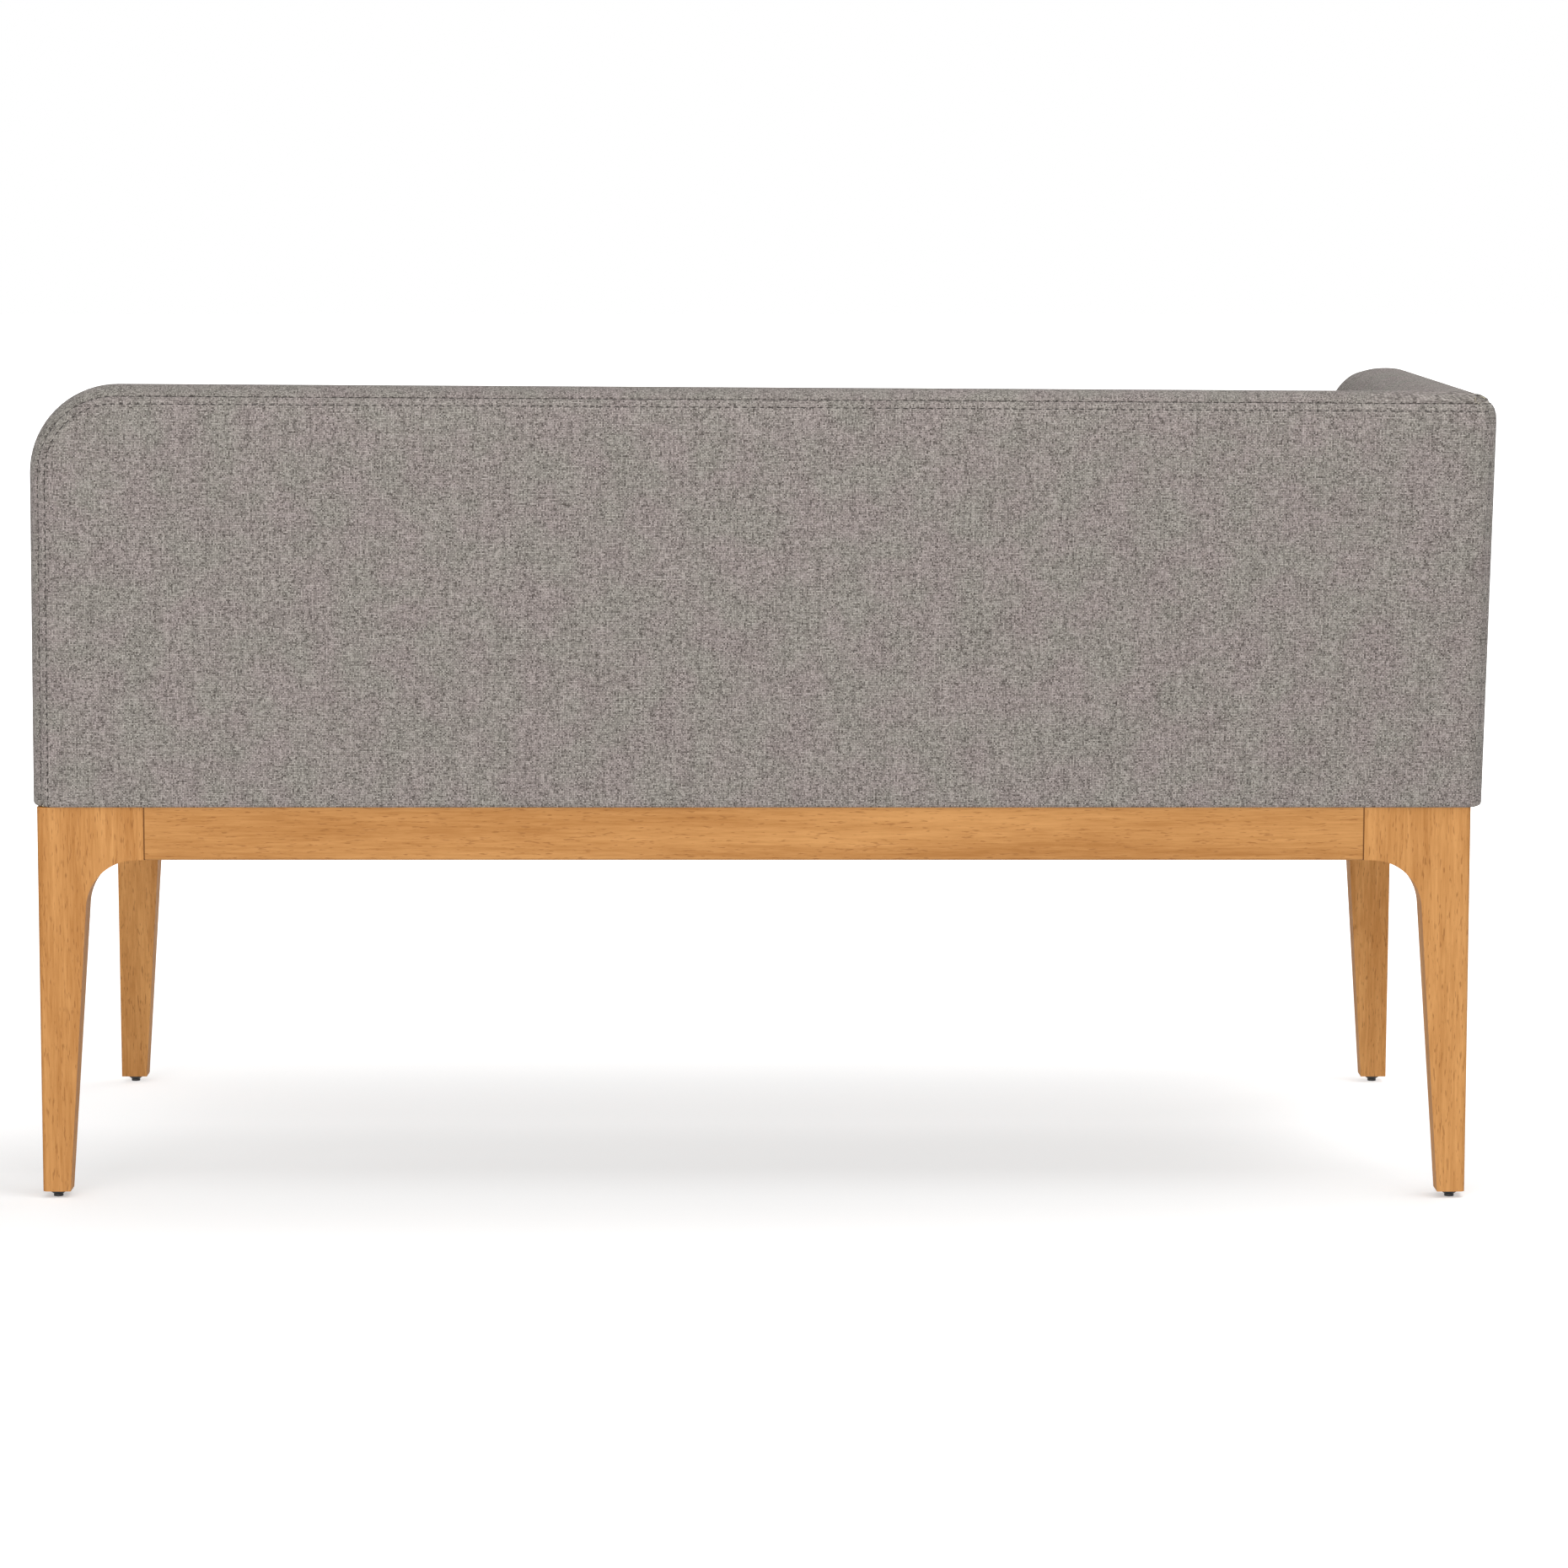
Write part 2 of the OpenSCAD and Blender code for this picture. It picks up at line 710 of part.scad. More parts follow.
// The outer side of a slab reaches over its rounded edge to the seam, the inner side is a flat sheet
module outer_side(s) slice(s, -over, rim_r_out * seam_reach_share, rear_seam);
module inner_sheet(s) slice(s, back_t - cover_t, back_t, inner_seam);

// The border stops where the outer and the inner cover begin
module border_limits(s) {
    outer_side(s);
    slice(s, back_t - cover_t - over, back_t + over, inner_seam);
}

// All of a slab between two depths
module depth_range(s, low, high) {
    translate([-corner_r, -slab_foot, low]) cube([s[0] + 2 * corner_r, s[1] + corner_r, high - low]);
}

module back_rear_foam() color(foam) intersection() {
    back_form(cover_t);
    place_back() depth_range(back, 0, panel_at);
    mitre_side(1);
    above(unit_z);
}

// The room that both frames take inside the foam
module frames_room() {
    place_back() slice(back, panel_at, foam_at, frame_in);
    place_wing() slice(wing, panel_at, foam_at, frame_in);
}

module back_foam() color(foam) difference() {
    intersection() {
        back_form(cover_t);
        place_back() depth_range(back, panel_at, back_t);
        mitre_side(1);
        above(unit_z);
    }
    frames_room();
    seat_frame_room();
}

module wing_outer_foam() color(foam) intersection() {
    wing_form(cover_t);
    place_wing() depth_range(wing, -corner_r, panel_at);
    mitre_side(-1);
    above(unit_z);
}

module wing_foam() color(foam) difference() {
    intersection() {
        wing_form(cover_t);
        place_wing() depth_range(wing, panel_at, back_t);
        mitre_side(-1);
        above(unit_z);
    }
    frames_room();
    seat_frame_room();
}

module back_rear_cover() color(fabric) intersection() {
    back_skin();
    place_rising_back() outer_side(back);
}

module back_inner_cover() color(fabric) difference() {
    intersection() {
        place_rising_back() inner_sheet(back);
        mitre_side(1);
        above(base_h);
    }
    seat_frame_room();
}

module back_border() color(fabric) difference() {
    back_skin();
    place_rising_back() border_limits(back);
}

module wing_outer_cover() color(fabric) intersection() {
    wing_skin();
    place_leaning_wing() outer_side(wing);
}

module wing_inner_cover() color(fabric) difference() {
    intersection() {
        place_leaning_wing() inner_sheet(wing);
        mitre_side(-1);
        above(base_h);
    }
    seat_frame_room();
}

module wing_border() color(fabric) difference() {
    wing_skin();
    place_leaning_wing() border_limits(wing);
}

// Frame members of a slab, drawn in its own x and y
module window(x, width) translate([x, dust_t]) square([width, big]);

module panel(s, from) translate([0, 0, panel_at]) linear_extrude(panel_t) intersection() {
    outline(s, frame_in);
    window(from, big);
}

module top_rail(s) translate([0, 0, post_at]) linear_extrude(post_t) intersection() {
    difference() {
        outline(s, frame_in);
        outline(s, frame_in + top_rail_h);
    }
    translate([strap_at, turn_y(s)]) square([turn_x(s) - strap_at, corner_r]);
}

module gusset(s) translate([turn_x(s), turn_y(s), post_at]) linear_extrude(post_t) intersection() {
    circle(corner_r - frame_in);
    square(corner_r);
}

// A post from the dust cover up to the underside of the top rail
module post(s, x, width) translate([0, 0, post_at]) linear_extrude(post_t) intersection() {
    outline(s, frame_in + top_rail_h);
    window(x, width);
}

module end_post(s) {
    translate([s[0] - frame_in - seat_rail_w, dust_t, post_at])
        cube([seat_rail_w, turn_y(s) - dust_t, post_t]);
}

module corner_post_body() translate([0, 0, post_at]) linear_extrude(post_t) intersection() {
    outline(back, frame_in);
    window(post_at, post_t);
}

// Dowels of a slab's frame: at the corner post, at the gusset and on top of the posts
module slab_dowels(s, corner_shares, post_places) {
    translate([0, 0, post_at + post_t / 2]) {
        for (share = corner_shares)
            translate([strap_at, s[1] - frame_in - (0.5 + share) * top_rail_h, 0])
                rotate([0, 90, 0]) dowel();
        for (share = pair_shares) {
            translate([turn_x(s), s[1] - frame_in - (0.5 + share) * top_rail_h, 0])
                rotate([0, 90, 0]) dowel();
            translate([end_place(s) - share * seat_rail_w, turn_y(s), 0]) rotate([90, 0, 0]) dowel();
        }
        for (x = post_places)
            translate([x, s[1] - frame_in - top_rail_h, 0]) rotate([90, 0, 0]) dowel();
    }
}

back_post_places = [-wing_x - mid_post_x, -wing_x + mid_post_x];
wing_post_place = strap_at + post_w / 2;
function end_place(s) = s[0] - frame_in - seat_rail_w / 2;

module all_frame_dowels() {
    place_back() slab_dowels(back, pair_shares, back_post_places);
    place_wing() slab_dowels(wing, [0], [wing_post_place]);
}

// A bolt with its head sunk under the panel, pointing inward from the outer face of a post
module bolt(length) {
    cylinder(d = bolt_head_d, h = bolt_head_h, $fn = 6);
    cylinder(d = bolt_d, h = bolt_sink + length);
}

module bolt_washer() translate([0, 0, bolt_head_h]) difference() {
    cylinder(d = washer_d, h = washer_t);
    translate([0, 0, -over]) cylinder(d = bolt_d + clearance, h = washer_t + 2 * over);
}

module bolt_clearance() {
    translate([0, 0, -over]) cylinder(d = washer_d + clearance, h = bolt_sink + over);
    cylinder(d = bolt_d + clearance, h = post_t + over);
}

// Places of the bolts from the posts into the seat rails
module at_rail_bolts() {
    for (x = concat(back_post_places, [end_place(back)]))
        place_back() translate([x, bolt_z - base_h, post_at]) children();
    for (x = [wing_post_place, end_place(wing)])
        place_wing() translate([x, bolt_z - base_h, post_at]) children();
}

// Places of the bolts from the corner post into the wing
module at_corner_bolts() {
    for (share = corner_bolt_shares)
        place_back() translate([post_at + post_t / 2, share * wing_h, post_at]) children();
}

module all_bolts() {
    at_rail_bolts() bolt(bolt_l);
    at_corner_bolts() bolt(corner_bolt_l);
}

// What is drilled in the posts: the bolts' sunk heads, their clearance and the dowels
module post_cuts() {
    at_rail_bolts() bolt_clearance();
    all_frame_dowels();
}

module corner_post() color(softwood) difference() {
    place_back() corner_post_body();
    at_corner_bolts() bolt_clearance();
    all_frame_dowels();
}

module back_post(x) color(softwood) difference() {
    place_back() post(back, x - post_w / 2, post_w);
    post_cuts();
}

module back_end_post() color(softwood) difference() {
    place_back() end_post(back);
    post_cuts();
}

module wing_rear_post() color(softwood) difference() {
    place_wing() post(wing, strap_at, post_w);
    post_cuts();
    at_corner_bolts() bolt(corner_bolt_l);
}

module wing_front_post() color(softwood) difference() {
    place_wing() end_post(wing);
    post_cuts();
}

module back_top_rail() color(softwood) difference() {
    place_back() top_rail(back);
    all_frame_dowels();
}

module wing_top_rail() color(softwood) difference() {
    place_wing() top_rail(wing);
    all_frame_dowels();
}

module back_corner_gusset() color(softwood) difference() {
    place_back() gusset(back);
    all_frame_dowels();
}

module wing_corner_gusset() color(softwood) difference() {
    place_wing() gusset(wing);
    all_frame_dowels();
}

module back_panel() color(ply) place_back() panel(back, frame_in);
module wing_panel() color(ply) place_wing() panel(wing, post_at);

// Straps on the inner faces of the posts, spaced between the seat and the top rail
module slab_webbing(s, from) {
    low = back_strap_shares[0] * s[1];
    high = back_strap_shares[1] * s[1] - back_strap_w / 2;
    for (i = [0:back_straps - 1])
        translate([from, low + i * (high - low) / (back_straps - 1) - back_strap_w / 2, strap_at])
            cube([s[0] - frame_in - strap_inset - from, back_strap_w, strap_t]);
}

module back_webbing() color(webbing) place_back() slab_webbing(back, strap_at + strap_inset);
module wing_webbing() color(webbing) place_wing() slab_webbing(wing, strap_at + strap_inset);

leg(1, 1);  // rear_leg_free_end
leg(0, 1);  // rear_leg_wing_end
leg(1, 0);  // front_leg_free_end
leg(0, 0);  // front_leg_wing_end
long_apron(1);  // rear_apron
long_apron(0);  // front_apron
short_apron(1);  // free_end_apron
short_apron(0);  // wing_end_apron
cross_rail(1);  // cross_rail_free_side
cross_rail(-1);  // cross_rail_wing_side
corner_block(1, 1);  // corner_block_rear_free
corner_block(0, 1);  // corner_block_rear_wing
corner_block(1, 0);  // corner_block_front_free
corner_block(0, 0);  // corner_block_front_wing
base_dowels();
color(steel) all_unit_screws();  // unit_screws
glide(1, 1);  // glide_rear_free
glide(0, 1);  // glide_rear_wing
glide(1, 0);  // glide_front_free
glide(0, 0);  // glide_front_wing
glide_nails();
dust_cover();
long_seat_rail(0);  // seat_front_rail
long_seat_rail(1);  // seat_rear_rail
short_seat_rail(1);  // seat_free_end_rail
short_seat_rail(0);  // seat_wing_end_rail
seat_webbing();
seat_border_foam();
seat_foam();
seat_cover();
corner_post();
back_end_post();
back_post(back_post_places[1]);  // back_post_free_side
back_post(back_post_places[0]);  // back_post_wing_side
back_top_rail();
back_corner_gusset();
back_panel();
back_webbing();
back_rear_foam();
back_foam();
back_rear_cover();
back_border();
back_inner_cover();
wing_rear_post();
wing_front_post();
wing_top_rail();
wing_corner_gusset();
wing_panel();
wing_webbing();
wing_outer_foam();
wing_foam();
wing_outer_cover();
wing_border();
wing_inner_cover();
color(softwood) all_seat_frame_dowels();  // seat_frame_dowels
color(softwood) all_frame_dowels();  // back_frame_dowels
color(steel) all_bolts();  // post_bolts
color(steel) {  // bolt_washers
    at_rail_bolts() bolt_washer();
    at_corner_bolts() bolt_washer();
}
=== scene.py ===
import math

import bmesh
import bpy
import numpy as np
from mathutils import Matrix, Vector, noise
from mathutils.bvhtree import BVHTree
from mathutils.interpolate import poly_3d_calc


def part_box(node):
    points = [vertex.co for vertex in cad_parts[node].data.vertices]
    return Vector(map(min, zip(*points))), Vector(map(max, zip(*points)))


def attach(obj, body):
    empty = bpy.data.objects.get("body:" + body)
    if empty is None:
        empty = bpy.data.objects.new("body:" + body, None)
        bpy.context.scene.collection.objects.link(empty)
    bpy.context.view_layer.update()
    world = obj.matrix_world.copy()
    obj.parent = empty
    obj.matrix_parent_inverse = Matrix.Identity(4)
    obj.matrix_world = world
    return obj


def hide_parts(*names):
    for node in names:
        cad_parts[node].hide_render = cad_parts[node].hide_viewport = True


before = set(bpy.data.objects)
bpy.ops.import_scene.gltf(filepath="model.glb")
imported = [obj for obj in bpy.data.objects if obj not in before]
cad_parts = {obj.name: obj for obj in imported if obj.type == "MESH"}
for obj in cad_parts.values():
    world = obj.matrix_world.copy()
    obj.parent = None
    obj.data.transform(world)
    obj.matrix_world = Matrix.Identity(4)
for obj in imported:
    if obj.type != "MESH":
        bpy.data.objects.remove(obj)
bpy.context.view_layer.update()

# Sizes of the upholstery in metres, worked out from the CAD source's values
BASE_H = 0.410
CORNER = Vector((-0.744237, 0.355, BASE_H))
BACK_L = 1.497476
WING_L = 0.710
SLAB_H = 0.4255
SLAB_T = 0.102
TURN_R = 0.090
RIM_OUT = 0.028
RIM_IN = 0.052
BACK_RISE = math.radians(0.325)
WING_LEAN = math.radians(1.3)
CORNER_R = 0.022
SEAM_INSET = 0.009
INNER_SEAM_INSET = 0.062
PAD_LOW = Vector((-0.641737, -0.355))
PAD_HIGH = Vector((0.753263, 0.2525))
PAD_TOP = 0.480
PAD_ROUND = 0.022

# Radii of the seat pad's corners in plan: front free, rear free, rear wing, front wing
PAD_CORNERS = (0.026, 0.010, 0.010, 0.010)

# Inner covers stop this high above the base, just over the seat's webbing, this far in and further
SEAT_FRAME_TOP = 0.0315
SEAT_FRAME_INSET = 0.037

# Easing of the oak's edges
EASED = 0.0012
EASED_ANGLE = math.radians(35)

# Sewing: the cloth, its hem, the seams' grooves and the topstitching beside them
CLOTH_T = 0.0010
PROUD = 0.0003
HEM_R = 0.0045
STITCH_GAP = 0.0104
PAD_STITCH_GAP = 0.0070
SEAM_DEPTH = 0.0022
SEAM_REACH = 0.0013
SEAM_THREAD = 0.0012
STITCH_DEPTH = 0.0007
STITCH_REACH = 0.0011

# One stitch: its size, how much pitch and length vary and at what scale, and its shape, as places
# along it with their share of the radius, and how high it stands and how deep its ends dip
STITCH_PITCH = 0.0086
STITCH_LENGTH = 0.0062
STITCH_R = 0.0006
PITCH_VARIES, PITCH_SCALE = 0.15, 90
LENGTH_VARIES, LENGTH_SCALE = 0.3, 170
STITCH_PROFILE = ((-1, 0.35), (-0.75, 0.85), (-0.25, 1), (0.25, 1), (0.75, 0.85), (1, 0.35))
STITCH_STANDS, STITCH_DIPS = 0.5, 1.6
STITCH_SIDES = 6

# Softness: how far the faces stand out in their middle, and where the seat pad presses on them
FACE_INSET = 0.076
MITRE_ZONE = 0.125
CORNER_FADE = 0.010
OUTER_CROWN = 0.0010
INNER_CROWN = 0.0050
RIPPLE, RIPPLE_SCALE = 0.0007, 9
SEAT_CONTACT = (0.078, 0.110)
RIM_CROWN, RIM_CROWN_FADE = 0.0008, 0.6

# Foams: how far those of the CAD are drawn in, and the wing's outer foam under its cover
FOAM_SHRINK = 0.0018
DEEPER_SHRINK = {"wing_foam": 0.0060, "seat_foam": 0.0035}
OUTER_FOAM_T = 0.005
FOAM_CLEARANCE = 0.0003

# The seat pad's crown before it is filled, which is about half of the CAD's, and its filling in
# Blender's cloth simulation, whose greatest move becomes PAD_SWELL
PAD_CROWN = 0.006
PAD_SWELL = 0.007
SHELL_STEP = 0.012
PRESSURE = 4
STIFFNESS = 30
BENDING = 2
FRAMES = 20

# The grids: fine rows beside a sewn line and beside a seam, the room that they need, and steps
LINE_OFFSETS = (-0.0030, -0.0019, -0.0012, -0.0006, 0, 0.0006, 0.0012, 0.0019, 0.0030)
SEAM_OFFSETS = (0, 0.0003, 0.0007, 0.0012, 0.0020, 0.0032)
FINE_ROOM = 0.0012
TOP_STEP = 0.020
RISE_STEPS = 29
TURN_STEPS = 18
MITRE_STEPS = 8
CORNER_STEPS = 7
PAD_X_CELLS, PAD_Y_CELLS, PAD_CORNER_POINTS = 68, 28, 7
WELD = 0.00004
SHORTEST_EDGE = 0.00002


def steps(high, count):
    """Even steps from 0 to high, without the 0."""
    return np.linspace(0, high, count + 1)[1:]


def spaced(low, high, step):
    """Evenly spaced values from low to high, no further apart than step."""
    return list(np.linspace(low, high, max(2, math.ceil(abs(high - low) / step) + 1)))


def near_line(place):
    """Fine stations on both sides of a sewn line."""
    return [place + d for d in LINE_OFFSETS]


def up_to_seam(seam, side):
    """Fine stations beside a seam, on one side of it."""
    return [seam + side * d for d in SEAM_OFFSETS]


def rounded(station):
    """A station as it is kept in a list, so that it can be found there again."""
    return round(station, 7)


def stations(low, high, step, *fine):
    """Coarse stations from low to high with finer groups put in."""
    extra = [s for group in fine for s in group if low - 1e-9 <= s <= high + 1e-9]
    coarse = [s for s in spaced(low, high, step) if all(abs(s - e) > FINE_ROOM for e in extra)]
    return sorted({rounded(s) for s in coarse + extra + [low, high]})


def smooth(low, high, value):
    """0 below low, 1 above high and a smooth step between them."""
    t = min(1.0, max(0.0, (value - low) / (high - low)))
    return t * t * (3 - 2 * t)


# The slabs' section: arc length s from the outer face, FACE_INSET in from the edge, over the rim
# to the same place of the inner face
S_OUT_ARC = FACE_INSET - RIM_OUT
S_TOP = S_OUT_ARC + RIM_OUT * math.pi / 2
S_IN_ARC = S_TOP + SLAB_T - RIM_OUT - RIM_IN
S_IN_FACE = S_IN_ARC + RIM_IN * math.pi / 2
S_END = S_IN_FACE + FACE_INSET - RIM_IN
S_SEAM = S_OUT_ARC + RIM_OUT * math.asin(1 - SEAM_INSET / RIM_OUT)
S_STITCH = S_SEAM - STITCH_GAP
S_INNER_SEAM = S_IN_FACE + INNER_SEAM_INSET - RIM_IN
S_INNER_STITCH = S_INNER_SEAM + STITCH_GAP


def section(s):
    """Inset from the edge and depth at arc length s, and the normal's parts out of the edge and
    into the depth."""
    if s <= S_OUT_ARC:
        return FACE_INSET - s, 0.0, 0.0, -1.0
    if s <= S_TOP:
        a = (s - S_OUT_ARC) / RIM_OUT
        sin, cos = math.sin(a), math.cos(a)
        return RIM_OUT * (1 - sin), RIM_OUT * (1 - cos), sin, -cos
    if s <= S_IN_ARC:
        return 0.0, RIM_OUT + s - S_TOP, 1.0, 0.0
    if s <= S_IN_FACE:
        b = (s - S_IN_ARC) / RIM_IN
        depth = SLAB_T - RIM_IN + RIM_IN * math.sin(b)
        return RIM_IN * (1 - math.cos(b)), depth, math.cos(b), math.sin(b)
    return RIM_IN + s - S_IN_FACE, SLAB_T, 0.0, 1.0


def sunk(s):
    """How far the sewing pulls the cloth in at arc length s, less the rim's slight crown."""
    along = (s - (S_TOP + S_IN_ARC) / 2) / (SLAB_T / 2)
    fade = 1 - smooth(RIM_CROWN_FADE, 1.0, abs(along))
    pull = -RIM_CROWN * math.cos(math.pi * along * 2) * fade
    for seam in (S_SEAM, S_INNER_SEAM):
        pull += SEAM_DEPTH * math.exp(-abs(s - seam) / SEAM_REACH)
    for line in (S_STITCH, S_INNER_STITCH):
        pull += STITCH_DEPTH * math.exp(-((s - line) / STITCH_REACH) ** 2)
    return pull


def swell(length, x, y, inner):
    """How far the stuffing pushes the cloth out at a place of a slab's face."""
    low = SEAT_CONTACT[1] if inner else 0.0
    side = INNER_SEAM_INSET if inner else SEAM_INSET
    u = (x - SLAB_T) / (length - side - SLAB_T)
    v = (y - low) / (SLAB_H - side - low)
    if not 0 < u < 1 or not 0 < v < 1:
        return 0.0
    dome = (1 - abs(2 * u - 1) ** 3) * (1 - abs(2 * v - 1) ** 3)
    place = Vector((x * RIPPLE_SCALE, y * RIPPLE_SCALE, 8.0 if inner else 3.0))
    return dome * ((INNER_CROWN if inner else OUTER_CROWN) + noise.noise(place) * RIPPLE)


def proud(y, inner):
    """How far the cloth stands outside the slab: nowhere that the seat pad touches it."""
    return PROUD * smooth(*SEAT_CONTACT, y) if inner else PROUD


# Rows up a face from its lower edge: (0, place in the hem's turn), then (share of the rest, None)
HEM_TURNS = [math.radians(a) for a in (90, 72, 54, 36, 18, 0)]
HEM = [(HEM_R * (1 - math.sin(t)), HEM_R * (1 - math.cos(t))) for t in HEM_TURNS]
RISE_ROWS = [(0, hem) for hem in HEM] + [(share, None) for share in steps(1, RISE_STEPS)]


def row_height(low, top, share, hem):
    """Height of a row of cloth between the lower edge and the top."""
    return low + (hem[0] if share == 0 else HEM_R + share * (top - low - HEM_R))


class Slab:
    """The back or the wing: x along it from the shared corner, y up, z in from its outer face."""

    def __init__(self, length, place, bottom):
        self.length = length
        self.place = place
        self.bottom = bottom
        self.turn_x = length - TURN_R
        self.turn_y = SLAB_H - TURN_R
        self.path = self.make_path()

    def make_path(self):
        """Stations along the edge: up the free end, round the turned corner, along the top, to
        the mitre and its rounded outer edge."""
        path = [("end", share, hem) for share, hem in RISE_ROWS]
        path += [("turn", math.radians(a), None) for a in steps(90, TURN_STEPS)]
        path += [("top", x, None) for x in spaced(self.turn_x, MITRE_ZONE, TOP_STEP)[1:]]
        path += [("mitre", f, None) for f in steps(1, MITRE_STEPS)]
        path += [("round", math.radians(a), None) for a in steps(45, CORNER_STEPS)]
        return path

    def middle(self):
        """The middle of the slab, in the shared frame."""
        return self.place(Vector((self.length / 2, SLAB_H / 2, SLAB_T / 2)))

    def at(self, station, s, lift=0.0):
        """Point, normal and flat place of the cloth at a path station and a section station."""
        kind, t, hem = station
        inset, depth, out, inward = section(s)
        flat_inset = FACE_INSET - s if s < S_TOP else inset
        along = 0.0
        low = self.low(inset, depth, s)
        if kind == "end":
            y = row_height(low, self.turn_y, t, hem)
            lift -= hem[1] if t == 0 else 0.0
            x = self.length - inset
            normal = Vector((out, 0, inward))
            flat = (self.length - flat_inset, y)
        elif kind == "turn":
            r = TURN_R - inset
            x, y = self.turn_x + r * math.cos(t), self.turn_y + r * math.sin(t)
            normal = Vector((out * math.cos(t), out * math.sin(t), inward))
            r = TURN_R - flat_inset
            flat = (self.turn_x + r * math.cos(t), self.turn_y + r * math.sin(t))
        else:
            y = SLAB_H - inset
            normal = Vector((0, out, inward))
            if kind == "top":
                x = t
            else:
                r = CORNER_R * max(0.0, 1 - depth / CORNER_FADE)
                x = MITRE_ZONE + (t if kind == "mitre" else 1.0) * (depth + r - MITRE_ZONE)
                if kind == "round":
                    x -= r * math.sin(t)
                    along = r * t - r * math.sin(t)
                    depth += r - r * math.cos(t)
                    normal = Vector((inward * math.sin(t), out, inward * math.cos(t)))
            flat = (x - along, SLAB_H - flat_inset)
        inner = s > S_IN_ARC
        lift += proud(y, inner) - sunk(s)
        if s < S_OUT_ARC or s > S_IN_FACE:
            lift += swell(self.length, x, y, inner)
        return Vector((x, y, depth)) + normal * lift, normal, flat

    def low(self, inset, depth, s):
        """Height of the cloth's lower edge: above the seat frame where that passes inside."""
        if s > S_IN_ARC and inset > SEAT_FRAME_INSET:
            return SEAT_FRAME_TOP
        return self.bottom(self.length - inset, depth)

    def face(self, s, lift):
        """Points and flat places of a face inside the swept rows, in columns from the turned
        corner to the mitre."""
        columns = []
        inner = s > S_IN_ARC
        for station in self.path[len(RISE_ROWS) - 1:]:
            top, normal, flat = self.at(station, s, lift)
            side = Vector((normal.x, 0, normal.z)).normalized()
            pushed = proud(top.y, inner) + swell(self.length, top.x, top.y, inner)
            low = SEAT_FRAME_TOP if inner else self.bottom(top.x, top.z)
            column = []
            for share, hem in RISE_ROWS:
                y = row_height(low, top.y, share, hem)
                push = proud(y, inner) + swell(self.length, top.x, y, inner) - pushed
                push -= hem[1] if share == 0 else 0.0
                column.append((Vector((top.x, y, top.z)) + side * push, (flat[0], y)))
            columns.append(column)
        return columns


def back_place(p):
    """A point of the back's slab in the shared frame: the back rises towards its free end."""
    c, s = math.cos(BACK_RISE), math.sin(BACK_RISE)
    return CORNER + Vector((p.x * c - p.y * s, -p.z, p.x * s + p.y * c))


def wing_place(p):
    """A point of the wing's slab in the shared frame: the wing leans out."""
    c, s = math.cos(WING_LEAN), math.sin(WING_LEAN)
    return CORNER + Vector((p.z * c - p.y * s, -p.x, p.z * s + p.y * c))


wing = Slab(WING_L, wing_place, lambda x, z: -z * math.tan(WING_LEAN))
back = Slab(BACK_L, back_place, lambda x, z: -x * math.tan(BACK_RISE))
SLABS = {"wing": wing, "back": back}


# A grid of cloth is a list of lines of (point, flat place, point in the slab's own axes)
def strip(slab, rows, lift=0.0):
    """Grid of the swept part of the cloth, one line for each path station."""
    lines = []
    for station in slab.path:
        line = []
        for s in rows:
            p, _, flat = slab.at(station, s, lift)
            line.append((slab.place(p), flat, p))
        lines.append(line)
    return lines


def face_lines(slab, s, lift=0.0):
    """Grid of the middle of a face."""
    return [[(slab.place(p), flat, p) for p, flat in column] for column in slab.face(s, lift)]


def joined_to_wing(lines, wing_lines):
    """Shifts the back's cloth near the mitre so that its last line is the wing's."""
    shifted = []
    for line in lines:
        new = []
        for here, last, wing_last in zip(line, lines[-1], wing_lines[-1]):
            p, flat, local = here
            near = max(0.0, 1 - abs(local.x - last[2].x) / MITRE_ZONE)
            shift = (wing_last[0] - last[0]) * near * near * (3 - 2 * near)
            new.append((p + shift, flat, local))
        shifted.append(new)
    return shifted


def border_flat(lines, rows):
    """The border's grid with flat places that run along the edge and across it."""
    made = []
    run, before = 0.0, None
    for line in lines:
        middle = line[len(line) // 2][0]
        run += 0.0 if before is None else (middle - before).length
        before = middle
        made.append([(p, (run, s), local) for (p, _, local), s in zip(line, rows)])
    return made


def add_grid(bm, uv_layer, lines):
    """Adds a grid of quads to a bmesh, with flat coordinates as its UV map."""
    rows = [[bm.verts.new(p) for p, _, _ in line] for line in lines]
    for i in range(len(lines) - 1):
        for j in range(len(lines[i]) - 1):
            at = [(i, j), (i + 1, j), (i + 1, j + 1), (i, j + 1)]
            face = bm.faces.new([rows[a][b] for a, b in at])
            for loop, (a, b) in zip(face.loops, at):
                loop[uv_layer].uv = lines[a][b][1]


def weld(bm, centre):
    """Welds a sheet's grids and turns its faces away from centre; gives the sheet's area."""
    bmesh.ops.remove_doubles(bm, verts=bm.verts[:], dist=WELD)
    bmesh.ops.dissolve_degenerate(bm, edges=bm.edges[:], dist=SHORTEST_EDGE)
    bmesh.ops.recalc_face_normals(bm, faces=bm.faces[:])
    widest = max(bm.faces, key=lambda f: f.calc_area())
    if widest.normal.dot(widest.calc_center_median() - centre) < 0:
        bmesh.ops.reverse_faces(bm, faces=bm.faces[:])
    bm.normal_update()
    return sum(f.calc_area() for f in bm.faces)


